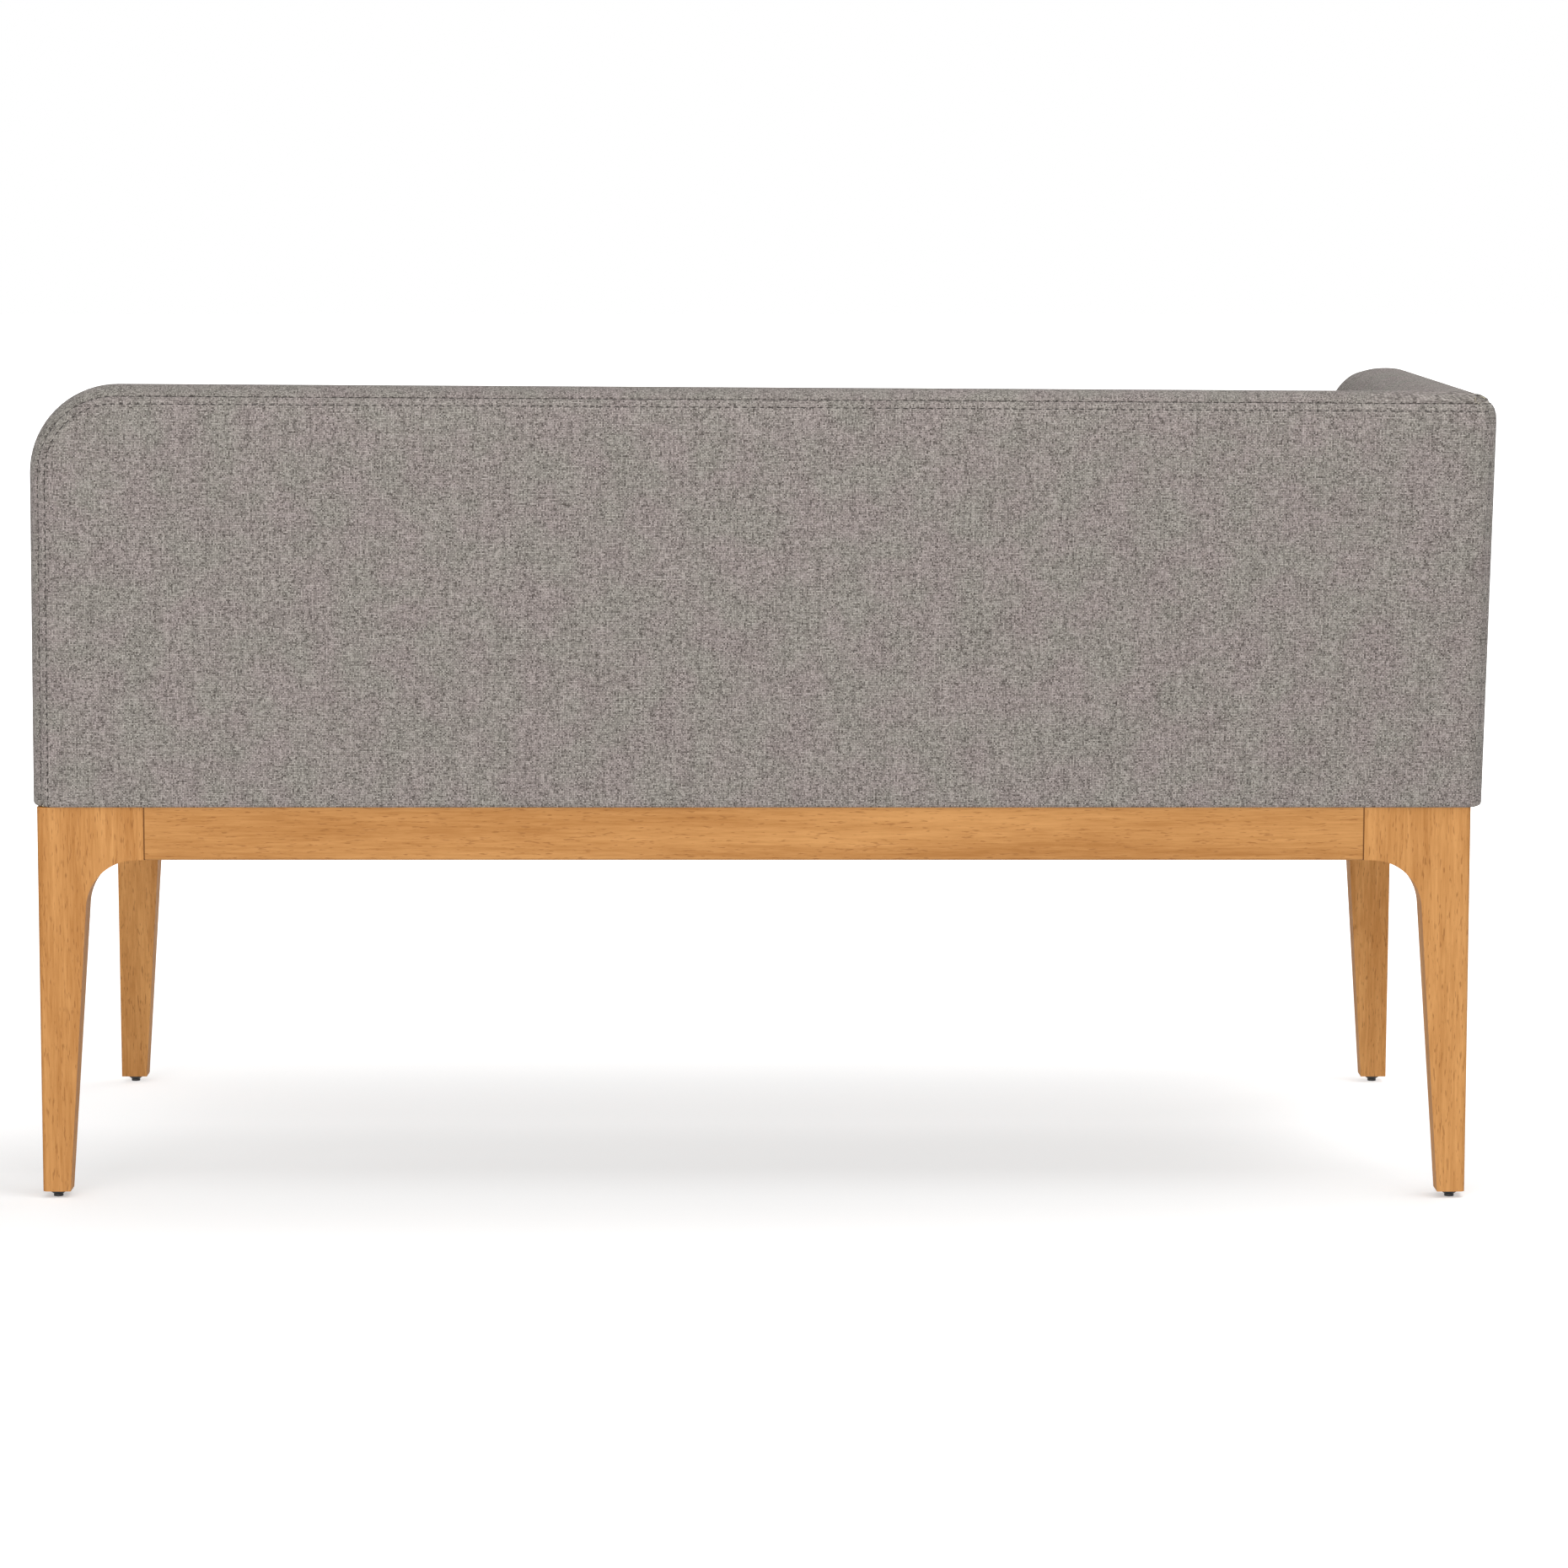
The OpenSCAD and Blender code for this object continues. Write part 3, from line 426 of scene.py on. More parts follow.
def thicken(bm, uv_layer, thickness):
    """Gives a welded sheet its thickness, inward, and closes it along its edges."""
    outer = bm.faces[:]
    rim = [(loop.vert, loop.link_loop_next.vert, loop[uv_layer].uv.copy())
           for face in outer for loop in face.loops if loop.edge.is_boundary]
    under = {v: bm.verts.new(v.co - v.normal * thickness) for v in bm.verts[:]}
    made = []
    for face in outer:
        loops = list(reversed(face.loops))
        uvs = [loop[uv_layer].uv.copy() for loop in loops]
        made.append((bm.faces.new([under[loop.vert] for loop in loops]), uvs))
    for a, b, uv in rim:
        made.append((bm.faces.new([b, a, under[a], under[b]]), [uv] * 4))
    for face, uvs in made:
        for loop, uv in zip(face.loops, uvs):
            loop[uv_layer].uv = uv


def finished(name, bm):
    """The bmesh as a smooth piece that rides with the body."""
    mesh = bpy.data.meshes.new(name)
    bm.to_mesh(mesh)
    bm.free()
    mesh.polygons.foreach_set("use_smooth", [True] * len(mesh.polygons))
    piece = bpy.data.objects.new(name, mesh)
    bpy.context.scene.collection.objects.link(piece)
    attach(piece, "root")
    return piece


def cloth_piece(name, grids, centre, thickness=CLOTH_T):
    """A closed sheet of cloth or foam made of one or more grids, and its area."""
    bm = bmesh.new()
    uv_layer = bm.loops.layers.uv.new("flat")
    for lines in grids:
        add_grid(bm, uv_layer, lines)
    area = weld(bm, centre)
    thicken(bm, uv_layer, thickness)
    return finished(name, bm), area


def stitches(name, runs, centre):
    """Threads as one piece: short rounded stitches laid along runs of cloth.

    A run is (lines, row): the grid of the cloth and the place of the stitched row in its lines."""
    bm = bmesh.new()
    uv_layer = bm.loops.layers.uv.new("flat")
    for lines, row in runs:
        points = [line[row][0] for line in lines]
        across = [line[min(row + 1, len(line) - 1)][0] - line[max(row - 1, 0)][0]
                  for line in lines]
        passed, due = 0.0, STITCH_PITCH / 2
        for k in range(len(points) - 1):
            span = points[k + 1] - points[k]
            length = span.length
            while length > 1e-6 and due <= passed + length:
                at = points[k].lerp(points[k + 1], (due - passed) / length)
                side = across[k].lerp(across[k + 1], (due - passed) / length)
                up = span.cross(side).normalized()
                if up.dot(at - centre) < 0:
                    up.negate()
                add_stitch(bm, at, span.normalized(), up)
                due += STITCH_PITCH * (1 + PITCH_VARIES * noise.noise(at * PITCH_SCALE))
            passed += length
    for face in bm.faces:
        for loop in face.loops:
            loop[uv_layer].uv = loop.vert.co.x + loop.vert.co.y, loop.vert.co.z
    piece = finished(name, bm)
    return piece


def add_stitch(bm, at, along, up):
    """One stitch: a rounded thread whose ends dip into the cloth."""
    side = along.cross(up)
    long = STITCH_LENGTH * (1 + LENGTH_VARIES * noise.noise(at * LENGTH_SCALE))
    turns = [k * math.pi / (STITCH_SIDES / 2) for k in range(STITCH_SIDES)]
    rings = []
    for t, width in STITCH_PROFILE:
        height = STITCH_R * (STITCH_STANDS - STITCH_DIPS * t * t)
        middle = at + along * (t * long / 2) + up * height
        rings.append([bm.verts.new(middle + (side * math.cos(a) + up * math.sin(a))
                                   * STITCH_R * width) for a in turns])
    for a, b in zip(rings, rings[1:]):
        for k in range(STITCH_SIDES):
            after = (k + 1) % STITCH_SIDES
            bm.faces.new([a[k], a[after], b[after], b[k]])
    bm.faces.new(rings[0][::-1])
    bm.faces.new(rings[-1])


# The covers of the wing and the back
OUTER_ROWS = stations(0, S_SEAM, 0.008, near_line(S_STITCH), up_to_seam(S_SEAM, -1))
BORDER_ROWS = stations(S_SEAM, S_INNER_SEAM, 0.0045,
                       up_to_seam(S_SEAM, 1), up_to_seam(S_INNER_SEAM, -1))
INNER_ROWS = stations(S_INNER_SEAM, S_END, 0.006,
                      up_to_seam(S_INNER_SEAM, 1), near_line(S_INNER_STITCH))

covers = {}
for kind, slab in SLABS.items():
    covers[kind] = {
        "outer": [strip(slab, OUTER_ROWS), face_lines(slab, 0)],
        "border": [strip(slab, BORDER_ROWS)],
        "inner": [strip(slab, INNER_ROWS), face_lines(slab, S_END)],
    }
for part, grids in covers["back"].items():
    covers["back"][part] = [joined_to_wing(g, w) for g, w in zip(grids, covers["wing"][part])]
for kind in SLABS:
    covers[kind]["border"][0] = border_flat(covers[kind]["border"][0], BORDER_ROWS)

PANELS = {
    ("back", "outer"): ("cloth_back_rear", "back_rear_cover"),
    ("back", "border"): ("cloth_back_border", "back_border"),
    ("back", "inner"): ("cloth_back_inner", "back_inner_cover"),
    ("wing", "outer"): ("cloth_wing_outer", "wing_outer_cover"),
    ("wing", "border"): ("cloth_wing_border", "wing_border"),
    ("wing", "inner"): ("cloth_wing_inner", "wing_inner_cover"),
}
cloth = {}
for (kind, part), (name, node) in PANELS.items():
    piece, area = cloth_piece(name, covers[kind][part], SLABS[kind].middle())
    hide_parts(node)
    cloth[(kind, part)] = (piece, area)

# The wing's outer foam, close under its cover; on the rim it ends under the border
under = -CLOTH_T - FOAM_CLEARANCE
foam_rows = stations(0, S_OUT_ARC + RIM_OUT * math.pi / 3, 0.010)
wing_foam, _ = cloth_piece(
    "foam_wing_outer", [strip(wing, foam_rows, under), face_lines(wing, 0, under)],
    wing.middle(), OUTER_FOAM_T)
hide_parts("wing_outer_foam")

# Threads of the topstitches and of the seams beside them
SEWN = {
    "outer": (OUTER_ROWS, (S_STITCH, S_SEAM - SEAM_THREAD)),
    "inner": (INNER_ROWS, (S_INNER_STITCH, S_INNER_SEAM + SEAM_THREAD)),
}
threads = []
for kind, slab in SLABS.items():
    for part, (rows, places) in SEWN.items():
        runs = [(covers[kind][part][0], rows.index(rounded(s))) for s in places]
        threads.append(stitches("stitching_" + kind + "_" + part, runs, slab.middle()))


# The seat pad's cloth: arc length s out to the edge, over the rounding and down to the hem
PAD_FACE_INSET = 0.026
PAD_S_ARC = PAD_FACE_INSET - PAD_ROUND
PAD_S_SIDE = PAD_S_ARC + PAD_ROUND * math.pi / 2
PAD_S_LOW = PAD_S_SIDE + PAD_TOP - PAD_ROUND - BASE_H - HEM_R
PAD_SEAM = PAD_S_ARC + PAD_ROUND * math.radians(52)
PAD_STITCH = PAD_SEAM - PAD_STITCH_GAP
PAD_MIDDLE = (PAD_LOW + PAD_HIGH) / 2
PAD_HALF = (PAD_HIGH - PAD_LOW) / 2
PAD_FOOT = Vector((PAD_MIDDLE.x, PAD_MIDDLE.y, BASE_H))


def pad_corner(k, w):
    """Centre and radius of the pad outline's corner k, in the order of PAD_CORNERS, at inset w."""
    r = PAD_CORNERS[k]
    x = PAD_HIGH.x - max(r, w) if k in (0, 1) else PAD_LOW.x + max(r, w)
    y = PAD_LOW.y + max(r, w) if k in (0, 3) else PAD_HIGH.y - max(r, w)
    return Vector((x, y)), max(r - w, 0.0)


def pad_outline(w):
    """Points and outward normals round the pad at inset w, with the same stations for every w."""
    points = []
    for k in range(4):
        centre, r = pad_corner(k, w)
        for a in np.linspace(-90, 0, PAD_CORNER_POINTS):
            t = math.radians(a + 90 * k)
            out = Vector((math.cos(t), math.sin(t)))
            points.append((centre + out * r, out))
        after, r_after = pad_corner((k + 1) % 4, w)
        out = Vector((math.cos(math.radians(90 * k)), math.sin(math.radians(90 * k))))
        start, stop = centre + out * r, after + out * r_after
        count = (PAD_Y_CELLS, PAD_X_CELLS)[k % 2]
        points += [(start.lerp(stop, i / count), out) for i in range(1, count)]
    return points


def crown(p):
    """How far the pad's top rises above its edge at a place in plan."""
    u, v = (p.x - PAD_MIDDLE.x) / PAD_HALF.x, (p.y - PAD_MIDDLE.y) / PAD_HALF.y
    return PAD_CROWN * (1 - u * u) * (1 - v * v)


def pad_row(s, lift=0.0):
    """The line of cloth round the pad at arc length s."""
    if s <= PAD_S_ARC:
        inset, z, tilt = PAD_FACE_INSET - s, PAD_TOP, math.pi / 2
    elif s <= PAD_S_SIDE:
        tilt = math.pi / 2 - (s - PAD_S_ARC) / PAD_ROUND
        inset = PAD_ROUND * (1 - math.cos(tilt))
        z = PAD_TOP - PAD_ROUND * (1 - math.sin(tilt))
    elif s <= PAD_S_LOW:
        inset, z, tilt = 0.0, PAD_TOP - PAD_ROUND - (s - PAD_S_SIDE), 0.0
    else:
        t = (s - PAD_S_LOW) / HEM_R
        inset, z, tilt = HEM_R * (1 - math.cos(t)), BASE_H + HEM_R * (1 - math.sin(t)), -t
    row = []
    for p, out in pad_outline(inset):
        rise = crown(p) if s <= PAD_S_SIDE else 0.0
        normal = Vector((out.x * math.cos(tilt), out.y * math.cos(tilt), math.sin(tilt)))
        row.append(Vector((p.x, p.y, z + rise)) + normal * lift)
    return row


def pad_sunk(s):
    """How far the sewing pulls the pad's cloth in at arc length s."""
    pull = SEAM_DEPTH * math.exp(-abs(s - PAD_SEAM) / SEAM_REACH)
    return pull + STITCH_DEPTH * math.exp(-((s - PAD_STITCH) / STITCH_REACH) ** 2)


def pad_top_grid():
    """The middle of the top: a plain grid inside the rows that go round the edge."""
    low, high = pad_corner(3, PAD_FACE_INSET)[0], pad_corner(1, PAD_FACE_INSET)[0]
    xs = np.linspace(low.x, high.x, PAD_X_CELLS + 1)
    ys = np.linspace(low.y, high.y, PAD_Y_CELLS + 1)
    return [[Vector((x, y, PAD_TOP + crown(Vector((x, y))))) for y in ys] for x in xs]


def pad_mesh(bm, grids):
    """Adds the pad's grids of points to a bmesh and welds them; gives their area."""
    for lines in grids:
        rows = [[bm.verts.new(p) for p in line] for line in lines]
        for i in range(len(lines) - 1):
            for j in range(len(lines[i]) - 1):
                bm.faces.new([rows[i][j], rows[i + 1][j], rows[i + 1][j + 1], rows[i][j + 1]])
    return weld(bm, PAD_FOOT)


def simulated_swell():
    """The pad's outside as a light shell, and how far its points move when the pad is filled.

    Blender's cloth under pressure, without gravity and held at the hem."""
    bm = bmesh.new()
    round_edge = [pad_row(s) for s in stations(0, PAD_S_LOW, SHELL_STEP)]
    pad_mesh(bm, [[line + line[:1] for line in round_edge], pad_top_grid()])
    mesh = bpy.data.meshes.new("shell")
    bm.to_mesh(mesh)
    bm.free()
    shell = bpy.data.objects.new("shell", mesh)
    scene = bpy.context.scene
    scene.collection.objects.link(shell)
    hem = shell.vertex_groups.new(name="hem")
    held = BASE_H + HEM_R + 0.0005
    hem.add([v.index for v in mesh.vertices if v.co.z < held], 1.0, "REPLACE")
    filling = shell.modifiers.new("filling", "CLOTH")
    filling.settings.vertex_group_mass = "hem"
    filling.settings.use_pressure = True
    filling.settings.uniform_pressure_force = PRESSURE
    filling.settings.effector_weights.gravity = 0
    filling.settings.tension_stiffness = filling.settings.compression_stiffness = STIFFNESS
    filling.settings.bending_stiffness = BENDING
    filling.point_cache.frame_end = FRAMES
    for moment in range(1, FRAMES + 1):
        scene.frame_set(moment)
    filled = shell.evaluated_get(bpy.context.evaluated_depsgraph_get()).data
    moves = [b.co - a.co for a, b in zip(mesh.vertices, filled.vertices)]
    share = PAD_SWELL / max(move.length for move in moves)
    shifts = [Vector([round(c * share, 5) for c in move]) for move in moves]
    points = [v.co.copy() for v in mesh.vertices]
    faces = [tuple(f.vertices) for f in mesh.polygons]
    scene.frame_set(1)
    bpy.data.objects.remove(shell)
    bpy.data.meshes.remove(mesh)
    return BVHTree.FromPolygons(points, faces), points, faces, shifts


SWELL = simulated_swell()


def swollen(p):
    """A point of the pad's cloth moved as the filled shell moves there, but not towards the back
    or the wing."""
    if SWELL is None:
        return p
    tree, points, faces, shifts = SWELL
    at, _, k, _ = tree.find_nearest(p)
    face = faces[k]
    weights = poly_3d_calc([points[v] for v in face], at)
    shift = sum((shifts[v] * w for v, w in zip(face, weights)), Vector())
    shift.x = max(shift.x, 0.0) if p.x < PAD_LOW.x + PAD_FACE_INSET else shift.x
    shift.y = min(shift.y, 0.0) if p.y > PAD_HIGH.y - PAD_FACE_INSET else shift.y
    return p + shift


def flat_of(p, normal):
    """Flat cloth coordinates by the side that a point faces."""
    if abs(normal.z) > 0.5:
        return p.x, p.y
    if abs(normal.x) > abs(normal.y):
        return p.y, p.z
    return p.x, p.z


def pad_grid(rows):
    """Lines of cloth round the pad, each closed on itself."""
    lines = []
    for s in rows:
        line = [swollen(p) for p in pad_row(s, -pad_sunk(s))]
        lines.append(line + line[:1])
    return lines


def pad_piece(name, grids):
    """One panel of the seat's cover as a closed sheet, and its area."""
    bm = bmesh.new()
    uv_layer = bm.loops.layers.uv.new("flat")
    area = pad_mesh(bm, grids)
    for face in bm.faces:
        for loop in face.loops:
            loop[uv_layer].uv = flat_of(loop.vert.co, face.normal)
    thicken(bm, uv_layer, CLOTH_T)
    return finished(name, bm), area


TOP_ROWS = stations(0, PAD_SEAM, 0.005, near_line(PAD_STITCH), up_to_seam(PAD_SEAM, -1))
SIDE_ROWS = stations(PAD_SEAM, PAD_S_LOW, 0.006, up_to_seam(PAD_SEAM, 1))
SIDE_ROWS += [PAD_S_LOW + HEM_R * math.radians(a) for a in (18, 36, 54, 72, 90)]

top_edge = pad_grid(TOP_ROWS)
top_middle = [[swollen(p) for p in line] for line in pad_top_grid()]
seat_top, seat_top_area = pad_piece("cloth_seat_top", [top_edge, top_middle])
seat_side, seat_side_area = pad_piece("cloth_seat_boxing", [pad_grid(SIDE_ROWS)])
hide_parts("seat_cover")
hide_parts("seat_cover")
top_lines = [[(p,) for p in column] for column in zip(*top_edge)]
runs = [(top_lines, TOP_ROWS.index(rounded(s))) for s in (PAD_STITCH, PAD_SEAM - SEAM_THREAD)]
threads.append(stitches("stitching_seat", runs, PAD_FOOT))


# Materials
def linear(r, g, b):
    """A colour written as 0 to 255 sRGB, as the renderer needs it."""
    parts = [c / 255 for c in (r, g, b)]
    return [c / 12.92 if c <= 0.04045 else ((c + 0.055) / 1.055) ** 2.4 for c in parts] + [1.0]


class Graph:
    """A material's node tree, built by calls that return sockets."""

    def __init__(self, name):
        self.material = bpy.data.materials.new(name)
        self.material.use_nodes = True
        self.tree = self.material.node_tree
        self.shader = self.tree.nodes["Principled BSDF"]

    def put(self, socket, value):
        """Links a socket to an input, or sets the input's value."""
        if isinstance(value, bpy.types.NodeSocket):
            self.tree.links.new(value, socket)
        else:
            socket.default_value = value

    def add(self, kind, settings=None, **inputs):
        """A node; its inputs go by name, with _ for a space, or by number, as i0 or i1."""
        node = self.tree.nodes.new(kind)
        for key, value in (settings or {}).items():
            setattr(node, key, value)
        for key, value in inputs.items():
            place = int(key[1:]) if key[1:].isdigit() else key.replace("_", " ")
            self.put(node.inputs[place], value)
        return node

    def math(self, operation, a, b=0.0, c=None):
        node = self.add("ShaderNodeMath", {"operation": operation}, i0=a, i1=b)
        if c is not None:
            self.put(node.inputs[2], c)
        return node.outputs[0]

    def xyz(self, x, y, z=0.0):
        return self.add("ShaderNodeCombineXYZ", None, X=x, Y=y, Z=z).outputs[0]

    def parts(self, vector):
        return self.add("ShaderNodeSeparateXYZ", None, Vector=vector).outputs

    def place(self):
        """The point's place in the object's own axes, which are the shared frame's."""
        return self.add("ShaderNodeTexCoord").outputs["Object"]

    def noise(self, vector, scale, detail=2.0, roughness=0.5, distortion=0.0):
        return self.add("ShaderNodeTexNoise", None, Vector=vector, Scale=scale, Detail=detail,
                        Roughness=roughness, Distortion=distortion).outputs["Fac"]

    def mapped(self, vector, scale, place=(0, 0, 0)):
        return self.add("ShaderNodeMapping", None, Vector=vector, Scale=scale,
                        Location=place).outputs[0]

    def mix(self, factor, a, b, blend="MIX"):
        node = self.add("ShaderNodeMix", {"data_type": "RGBA", "blend_type": blend})
        for place, value in ((0, factor), (6, a), (7, b)):
            self.put(node.inputs[place], value)
        return node.outputs[2]

    def mix_values(self, factor, a, b):
        node = self.add("ShaderNodeMix", {"data_type": "FLOAT"})
        for place, value in ((0, factor), (2, a), (3, b)):
            self.put(node.inputs[place], value)
        return node.outputs[0]

    def ramp(self, value, low, high):
        """Value stretched so that low becomes 0 and high becomes 1."""
        return self.add("ShaderNodeMapRange", None, Value=value, From_Min=low,
                        From_Max=high).outputs[0]

    def finish(self, colour, roughness, **fixed):
        """Sets the shader's colour and its fixed values."""
        self.put(self.shader.inputs["Base Color"], colour)
        self.shader.inputs["Roughness"].default_value = roughness
        for key, value in fixed.items():
            self.shader.inputs[key.replace("_", " ")].default_value = value

    def bump(self, height, distance, strength=1.0):
        node = self.add("ShaderNodeBump", None, Height=height, Distance=distance,
                        Strength=strength)
        self.tree.links.new(node.outputs[0], self.shader.inputs["Normal"])


# The weave: its pitch, how far apart in the noise two yarns beside each other lie, and how
# slowly a yarn's shade changes along it
WEAVE_PITCH = 0.0016
YARN_APART = 3.71
YARN_ALONG = 0.22


def fabric_material(name, light, dark):
    """A plain weave of heathered yarn: each yarn has its own shade, which wanders along it."""
    g = Graph(name)
    flat = g.add("ShaderNodeUVMap", {"uv_map": "flat"}).outputs[0]
    u, v, _ = g.parts(g.mapped(flat, (1 / WEAVE_PITCH, 1 / WEAVE_PITCH, 1)))
    iu, iv = g.math("FLOOR", u), g.math("FLOOR", v)
    fu, fv = g.math("FRACT", u), g.math("FRACT", v)
    over = g.math("MODULO", g.math("ABSOLUTE", g.math("ADD", iu, iv)), 2.0)
    round_u = g.math("SINE", g.math("MULTIPLY", fu, math.pi))
    round_v = g.math("SINE", g.math("MULTIPLY", fv, math.pi))
    warp_at = g.xyz(g.math("MULTIPLY", iu, YARN_APART), g.math("MULTIPLY", v, YARN_ALONG))
    weft_at = g.xyz(g.math("MULTIPLY", u, YARN_ALONG), g.math("MULTIPLY", iv, YARN_APART), 9.0)
    warp = g.noise(warp_at, 1.0, 3.0, 0.75)
    weft = g.noise(weft_at, 1.0, 3.0, 0.75)
    height = g.math("MULTIPLY", g.math("POWER", round_u, 0.5), g.math("POWER", round_v, 0.8))
    yarn = g.mix_values(over, warp, weft)
    fleck = g.noise(g.mapped(flat, (520, 520, 1)), 1.0, 2.0, 0.7)
    shade = g.math("ADD", g.math("MULTIPLY", yarn, 0.7), g.math("MULTIPLY", fleck, 0.3))
    streak = g.noise(g.mapped(flat, (260, 14, 1)), 1.0, 2.0, 0.6)
    streak = g.math("MULTIPLY", g.math("SUBTRACT", streak, 0.5), 0.10)
    level = g.ramp(g.math("ADD", shade, streak), 0.39, 0.61)
    # Painted shade: the colour darkens where the yarns' height falls away, in the hollows between
    # the yarns
    level = g.math("MULTIPLY", level, g.math("MULTIPLY_ADD", height, 0.75, 0.48))
    patch = g.ramp(g.noise(g.mapped(flat, (22, 22, 1)), 1.0, 1.0), 0.35, 0.65)
    tint = g.mix(patch, (1.03, 0.99, 1.02, 1), (0.98, 1.02, 0.99, 1))
    g.finish(g.mix(0.8, g.mix(level, dark, light), tint, "MULTIPLY"), 0.95,
             Specular_IOR_Level=0.15, Sheen_Weight=0.08, Sheen_Roughness=0.5)
    g.bump(height, 0.00035, 0.8)
    return g.material


# Oak: its colours, and where the painted shadow line of a joint starts and is full, off the
# shoulder
OAK_DARK = (178, 122, 66)
OAK_LIGHT = (211, 155, 95)
OAK_PORE = linear(138, 88, 46)
JOINT_SHADE_COLOUR = linear(96, 58, 28)
JOINT_SHADE_LINE = (0.0018, 0.0007)


def oak_material(name, grain, seed, painted_light_level, joined=None):
    """Oiled oak with its grain along one axis: long fibres, short dark pores and slow bands.

    A rail that is joined end-on to the legs has a painted shadow line at its two shoulders,
    standing in for the shade in the joint."""
    g = Graph(name)
    at = g.place()

    def stretched_at(across, along, place):
        return g.mapped(at, [along if axis == grain else across for axis in range(3)], place)

    fibre = g.noise(stretched_at(420, 25.2, (seed, seed, seed)), 1.0, 4.0, 0.65)
    pore = g.ramp(g.noise(stretched_at(620, 95, (seed, 0, seed)), 1.0, 1.0, 0.5), 0.62, 0.72)
    band = g.noise(stretched_at(38, 2.2, (seed, seed, 0)), 1.0, 3.0, 0.5, 0.6)
    wide = g.noise(stretched_at(11, 1.5, (0, seed, seed)), 1.0, 1.0)
    level = g.math("ADD", g.math("MULTIPLY", fibre, 0.45), g.math("MULTIPLY", band, 0.55))
    # Both colours are scaled by the part's level: painted light or shade, a lighter or darker copy
    # of the same oak for how the lamps fall on the part
    dark, light = ([c * painted_light_level for c in linear(*rgb)[:3]] + [1.0] for rgb in (OAK_DARK, OAK_LIGHT))
    colour = g.mix(g.ramp(level, 0.37, 0.63), dark, light)
    duller = g.mix(1.0, colour, (0.92, 0.90, 0.87, 1), "MULTIPLY")
    colour = g.mix(g.ramp(wide, 0.3, 0.7), duller, colour)
    colour = g.mix(g.math("MULTIPLY", pore, 0.55), colour, OAK_PORE)
    # Painted shade: a dark line at each shoulder, where the rail meets a leg
    if joined:
        along = g.parts(at)[grain]
        for shoulder in (corner[grain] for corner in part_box(joined)):
            off = g.math("ABSOLUTE", g.math("SUBTRACT", along, float(shoulder)))
            colour = g.mix(g.ramp(off, *JOINT_SHADE_LINE), colour, JOINT_SHADE_COLOUR)
    g.finish(colour, 0.6, Specular_IOR_Level=0.12)
    g.bump(g.math("SUBTRACT", fibre, pore), 0.00012, 0.5)
    return g.material


def mottled(name, light, dark, scale, rough, metal=0.0, stretch=(1, 1, 1), depth=0.0001):
    """A finish with fine mottling, for the parts inside, the thread and the fittings."""
    g = Graph(name)
    fine = g.noise(g.mapped(g.place(), [scale * k for k in stretch]), 1.0, 3.0, 0.6)
    g.finish(g.mix(g.ramp(fine, 0.3, 0.7), linear(*dark), linear(*light)), rough, Metallic=metal)
    g.bump(fine, depth, 0.5)
    return g.material


FABRIC = fabric_material("heathered_weave", linear(182, 174, 168), linear(82, 76, 72))
# Painted light and shade: the front legs' oak is painted lighter, and the rails' oak darker, than
# the rear legs', standing in for how the lamps fall on them
OAK_UP = oak_material("oak_upright", grain=2, seed=3.0, painted_light_level=1.0)
OAK_FRONT_PAINTED_LIGHT = oak_material("oak_front_legs_painted_light", grain=2, seed=11.0, painted_light_level=1.12)
OAK_LONG_PAINTED_SHADE = oak_material("oak_long_painted_shade", grain=0, seed=7.0, painted_light_level=0.92, joined="rear_apron")
OAK_SIDE_PAINTED_SHADE = oak_material("oak_side_painted_shade", grain=1, seed=5.0, painted_light_level=0.92, joined="free_end_apron")
THREAD = mottled("thread", (66, 60, 57), (36, 33, 31), 1500, 0.8)
SOFTWOOD = mottled("softwood_frame", (226, 200, 154), (198, 166, 116), 300, 0.7)
PLYWOOD = mottled("plywood", (210, 180, 130), (180, 146, 98), 120, 0.7, stretch=(0.2, 1, 1))
FOAM = mottled("foam", (240, 234, 208), (214, 204, 172), 900, 0.95, depth=0.0004)
WEBBING = mottled("webbing", (112, 92, 74), (64, 52, 44), 700, 0.9, stretch=(1, 1, 0.2),
                  depth=0.0003)
LINING = mottled("lining", (52, 52, 56), (24, 24, 27), 1200, 0.95)
STEEL = mottled("zinc_steel", (196, 198, 202), (150, 152, 158), 500, 0.35, metal=1.0,
                depth=0.00005)
PLASTIC = mottled("black_plastic", (34, 34, 35), (20, 20, 21), 800, 0.45, depth=0.00005)

FINISHES = (
    (("foam",), FOAM),
    (("webbing",), WEBBING),
    (("dust_cover",), LINING),
    (("panel",), PLYWOOD),
    (("screws", "nails", "bolts", "washers"), STEEL),
    (("glide",), PLASTIC),
)


def finish_of(node):
    """The material of a CAD node, by the words in its name."""
    if "leg" in node:
        return OAK_FRONT_PAINTED_LIGHT if "front" in node else OAK_UP
    if "apron" in node or "cross_rail" in node:
        return OAK_LONG_PAINTED_SHADE if node in ("rear_apron", "front_apron") else OAK_SIDE_PAINTED_SHADE
    for words, material in FINISHES:
        if any(word in node for word in words):
            return material
    return SOFTWOOD


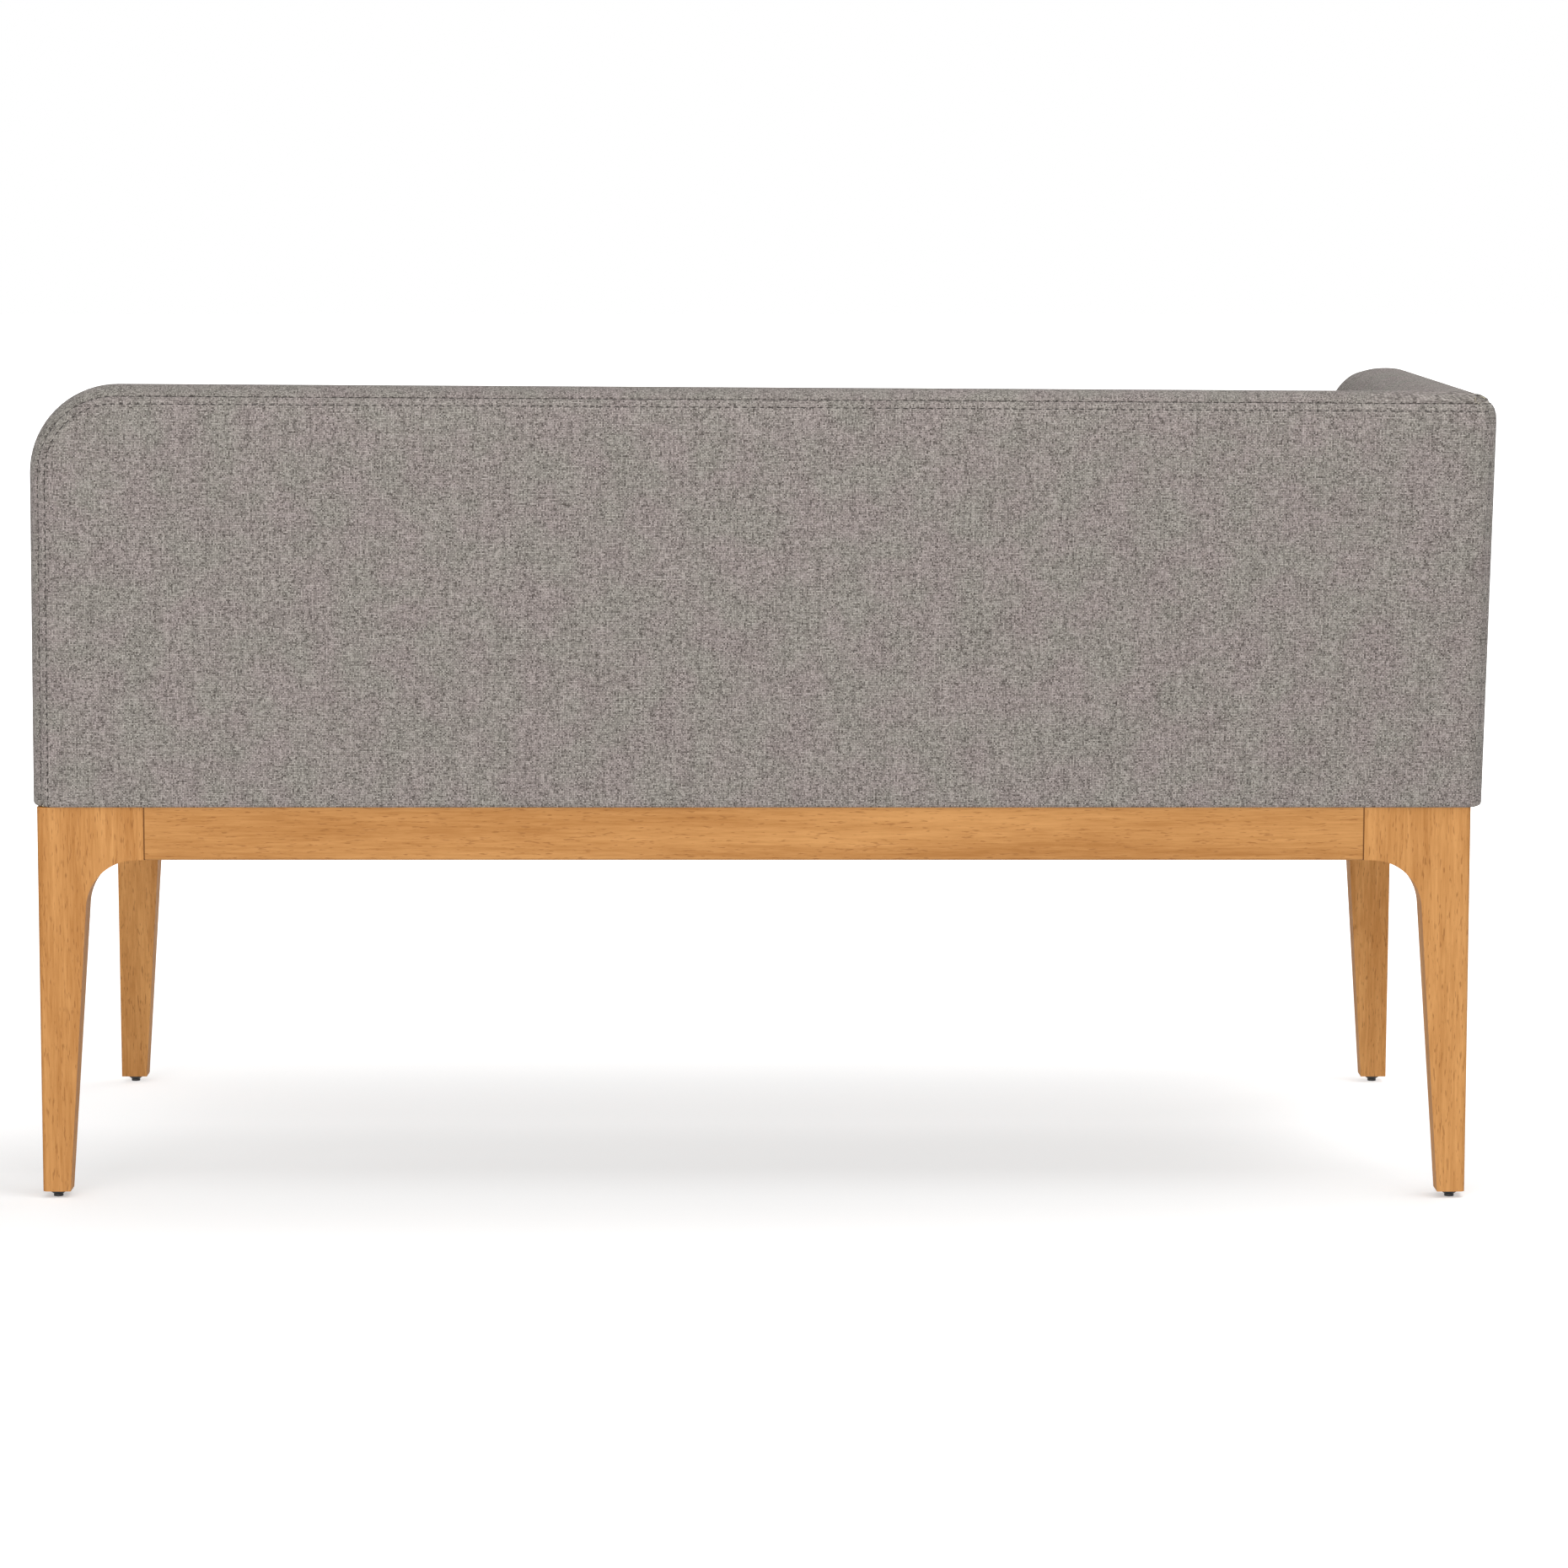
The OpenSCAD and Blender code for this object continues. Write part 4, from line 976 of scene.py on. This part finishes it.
for node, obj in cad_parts.items():
    obj.data.materials.clear()
    obj.data.materials.append(finish_of(node))
    for poly in obj.data.polygons:
        poly.material_index = 0
    if "foam" in node:
        shrink = obj.modifiers.new("pressed", "DISPLACE")
        shrink.strength = -DEEPER_SHRINK.get(node, FOAM_SHRINK)
        shrink.mid_level = 0
    elif "leg" in node or "apron" in node:
        ease = obj.modifiers.new("eased", "BEVEL")
        ease.width = EASED
        ease.segments = 2
        ease.angle_limit = EASED_ANGLE
        ease.harden_normals = False
        ease.use_clamp_overlap = False
for piece in threads:
    piece.data.materials.append(THREAD)
wing_foam.data.materials.append(FOAM)
for piece in [p for p, _ in cloth.values()] + [seat_top, seat_side]:
    piece.data.materials.append(FABRIC)


def flat_extent(piece):
    """Width and length of a piece's flat pattern, from its UV map."""
    uv = np.empty(2 * len(piece.data.loops))
    piece.data.uv_layers["flat"].data.foreach_get("uv", uv)
    return tuple(float(e) for e in np.ptp(uv.reshape(-1, 2), axis=0))


for key, (piece, area) in cloth.items():
    flat_extent(piece)

# The floor, whose glow for the camera and for reflections alone makes it pale: a base level, more
# far from the object, and more in three steps along y, each as (start, end, amount). The steps are
# painted light and shade on the floor that shape the object's shadow there.
FLOOR_HALF = 30
GLOW_BASE, GLOW_FAR, FAR_OFF = 0.345, 0.56, (1.3, 2.8)
PAINTED_LIGHT_STEPS = ((0.40, 0.22, 0.05), (0.20, -0.06, 0.205), (0.50, 0.90, 0.16))

floor_mesh = bpy.data.meshes.new("floor")
floor_mesh.from_pydata([(x * FLOOR_HALF, y * FLOOR_HALF, 0)
                        for x, y in ((-1, -1), (1, -1), (1, 1), (-1, 1))], [], [(0, 1, 2, 3)])
floor = bpy.data.objects.new("floor", floor_mesh)
bpy.context.scene.collection.objects.link(floor)
g = Graph("studio_floor")
rays = g.add("ShaderNodeLightPath").outputs
seen = g.math("MAXIMUM", rays["Is Glossy Ray"], rays["Is Transmission Ray"])
seen = g.math("MAXIMUM", rays["Is Camera Ray"], seen)
x, y, _ = g.parts(g.place())
away = g.math("SQRT", g.math("ADD", g.math("POWER", x, 2.0), g.math("POWER", y, 2.0)))
glow = g.math("MULTIPLY_ADD", g.ramp(away, *FAR_OFF), GLOW_FAR, GLOW_BASE)
# Painted light and shade: the steps along y raise the glow in bands that shape the object's shadow
# on the floor
for start, end, amount in PAINTED_LIGHT_STEPS:
    glow = g.math("MULTIPLY_ADD", g.ramp(y, start, end), amount, glow)
g.finish((0.80, 0.80, 0.80, 1), 0.9, Specular_IOR_Level=0.0, Emission_Color=(1, 1, 1, 1))
g.put(g.shader.inputs["Emission Strength"], g.math("MULTIPLY", seen, glow))
floor_mesh.materials.append(g.material)

# The world: white for the camera, WORLD_LIGHT as light on the object
WORLD_LIGHT = 0.50
world = bpy.data.worlds.new("studio")
bpy.context.scene.world = world
world.use_nodes = True
tree = world.node_tree
tree.nodes.clear()
out = tree.nodes.new("ShaderNodeOutputWorld")
ground = tree.nodes.new("ShaderNodeBackground")
ground.inputs["Color"].default_value = (1, 1, 1, 1)
rays = tree.nodes.new("ShaderNodeLightPath")
pick = tree.nodes.new("ShaderNodeMapRange")
pick.inputs["To Min"].default_value = WORLD_LIGHT
pick.inputs["To Max"].default_value = 1.0
tree.links.new(rays.outputs["Is Camera Ray"], pick.inputs["Value"])
tree.links.new(pick.outputs[0], ground.inputs["Strength"])
tree.links.new(ground.outputs[0], out.inputs["Surface"])

# Soft lamps: place, target, size and power
LAMPS = {
    "key": ((3.0, 4.8, 1.0), (0, 0, 0.35), (4.0, 1.6), 86),
    "low": ((-0.4, 5.0, 0.42), (0.1, -0.3, 0.15), (1.6, 0.5), 38),
    "brow": ((0.5, 3.2, 3.4), (0, 0, 0.5), (3.0, 1.6), 32),
    "top": ((-1.6, 0.9, 3.3), (0, 0.2, 0.4), (3.0, 2.0), 46),
    "fill": ((-3.2, -3.6, 1.5), (0, 0, 0.3), (3.0, 1.6), 40),
}
for name, (place, target, size, power) in LAMPS.items():
    data = bpy.data.lights.new(name, "AREA")
    data.shape = "RECTANGLE"
    data.size, data.size_y = size
    data.energy = power
    lamp = bpy.data.objects.new(name, data)
    lamp.location = place
    lamp.rotation_euler = (Vector(target) - Vector(place)).to_track_quat("-Z", "Y").to_euler()
    bpy.context.scene.collection.objects.link(lamp)

# The camera at the photograph's viewing angle, solved from points measured in it
LENS, SENSOR, SHIFT_X = 117.06, 36, 0.0194
CAMERA_AT = (0.008, 5.567, 1.073)
LOOKS_DOWN = 6.98

camera_data = bpy.data.cameras.new("camera")
camera = bpy.data.objects.new("camera", camera_data)
camera_data.sensor_width = SENSOR
camera_data.lens = LENS
camera_data.shift_x = SHIFT_X
camera_data.clip_end = 100
camera.location = CAMERA_AT
camera.rotation_euler = (math.radians(90 - LOOKS_DOWN), 0, math.radians(180))
bpy.context.scene.collection.objects.link(camera)
bpy.context.scene.camera = camera
bpy.context.scene.view_settings.view_transform = "Standard"
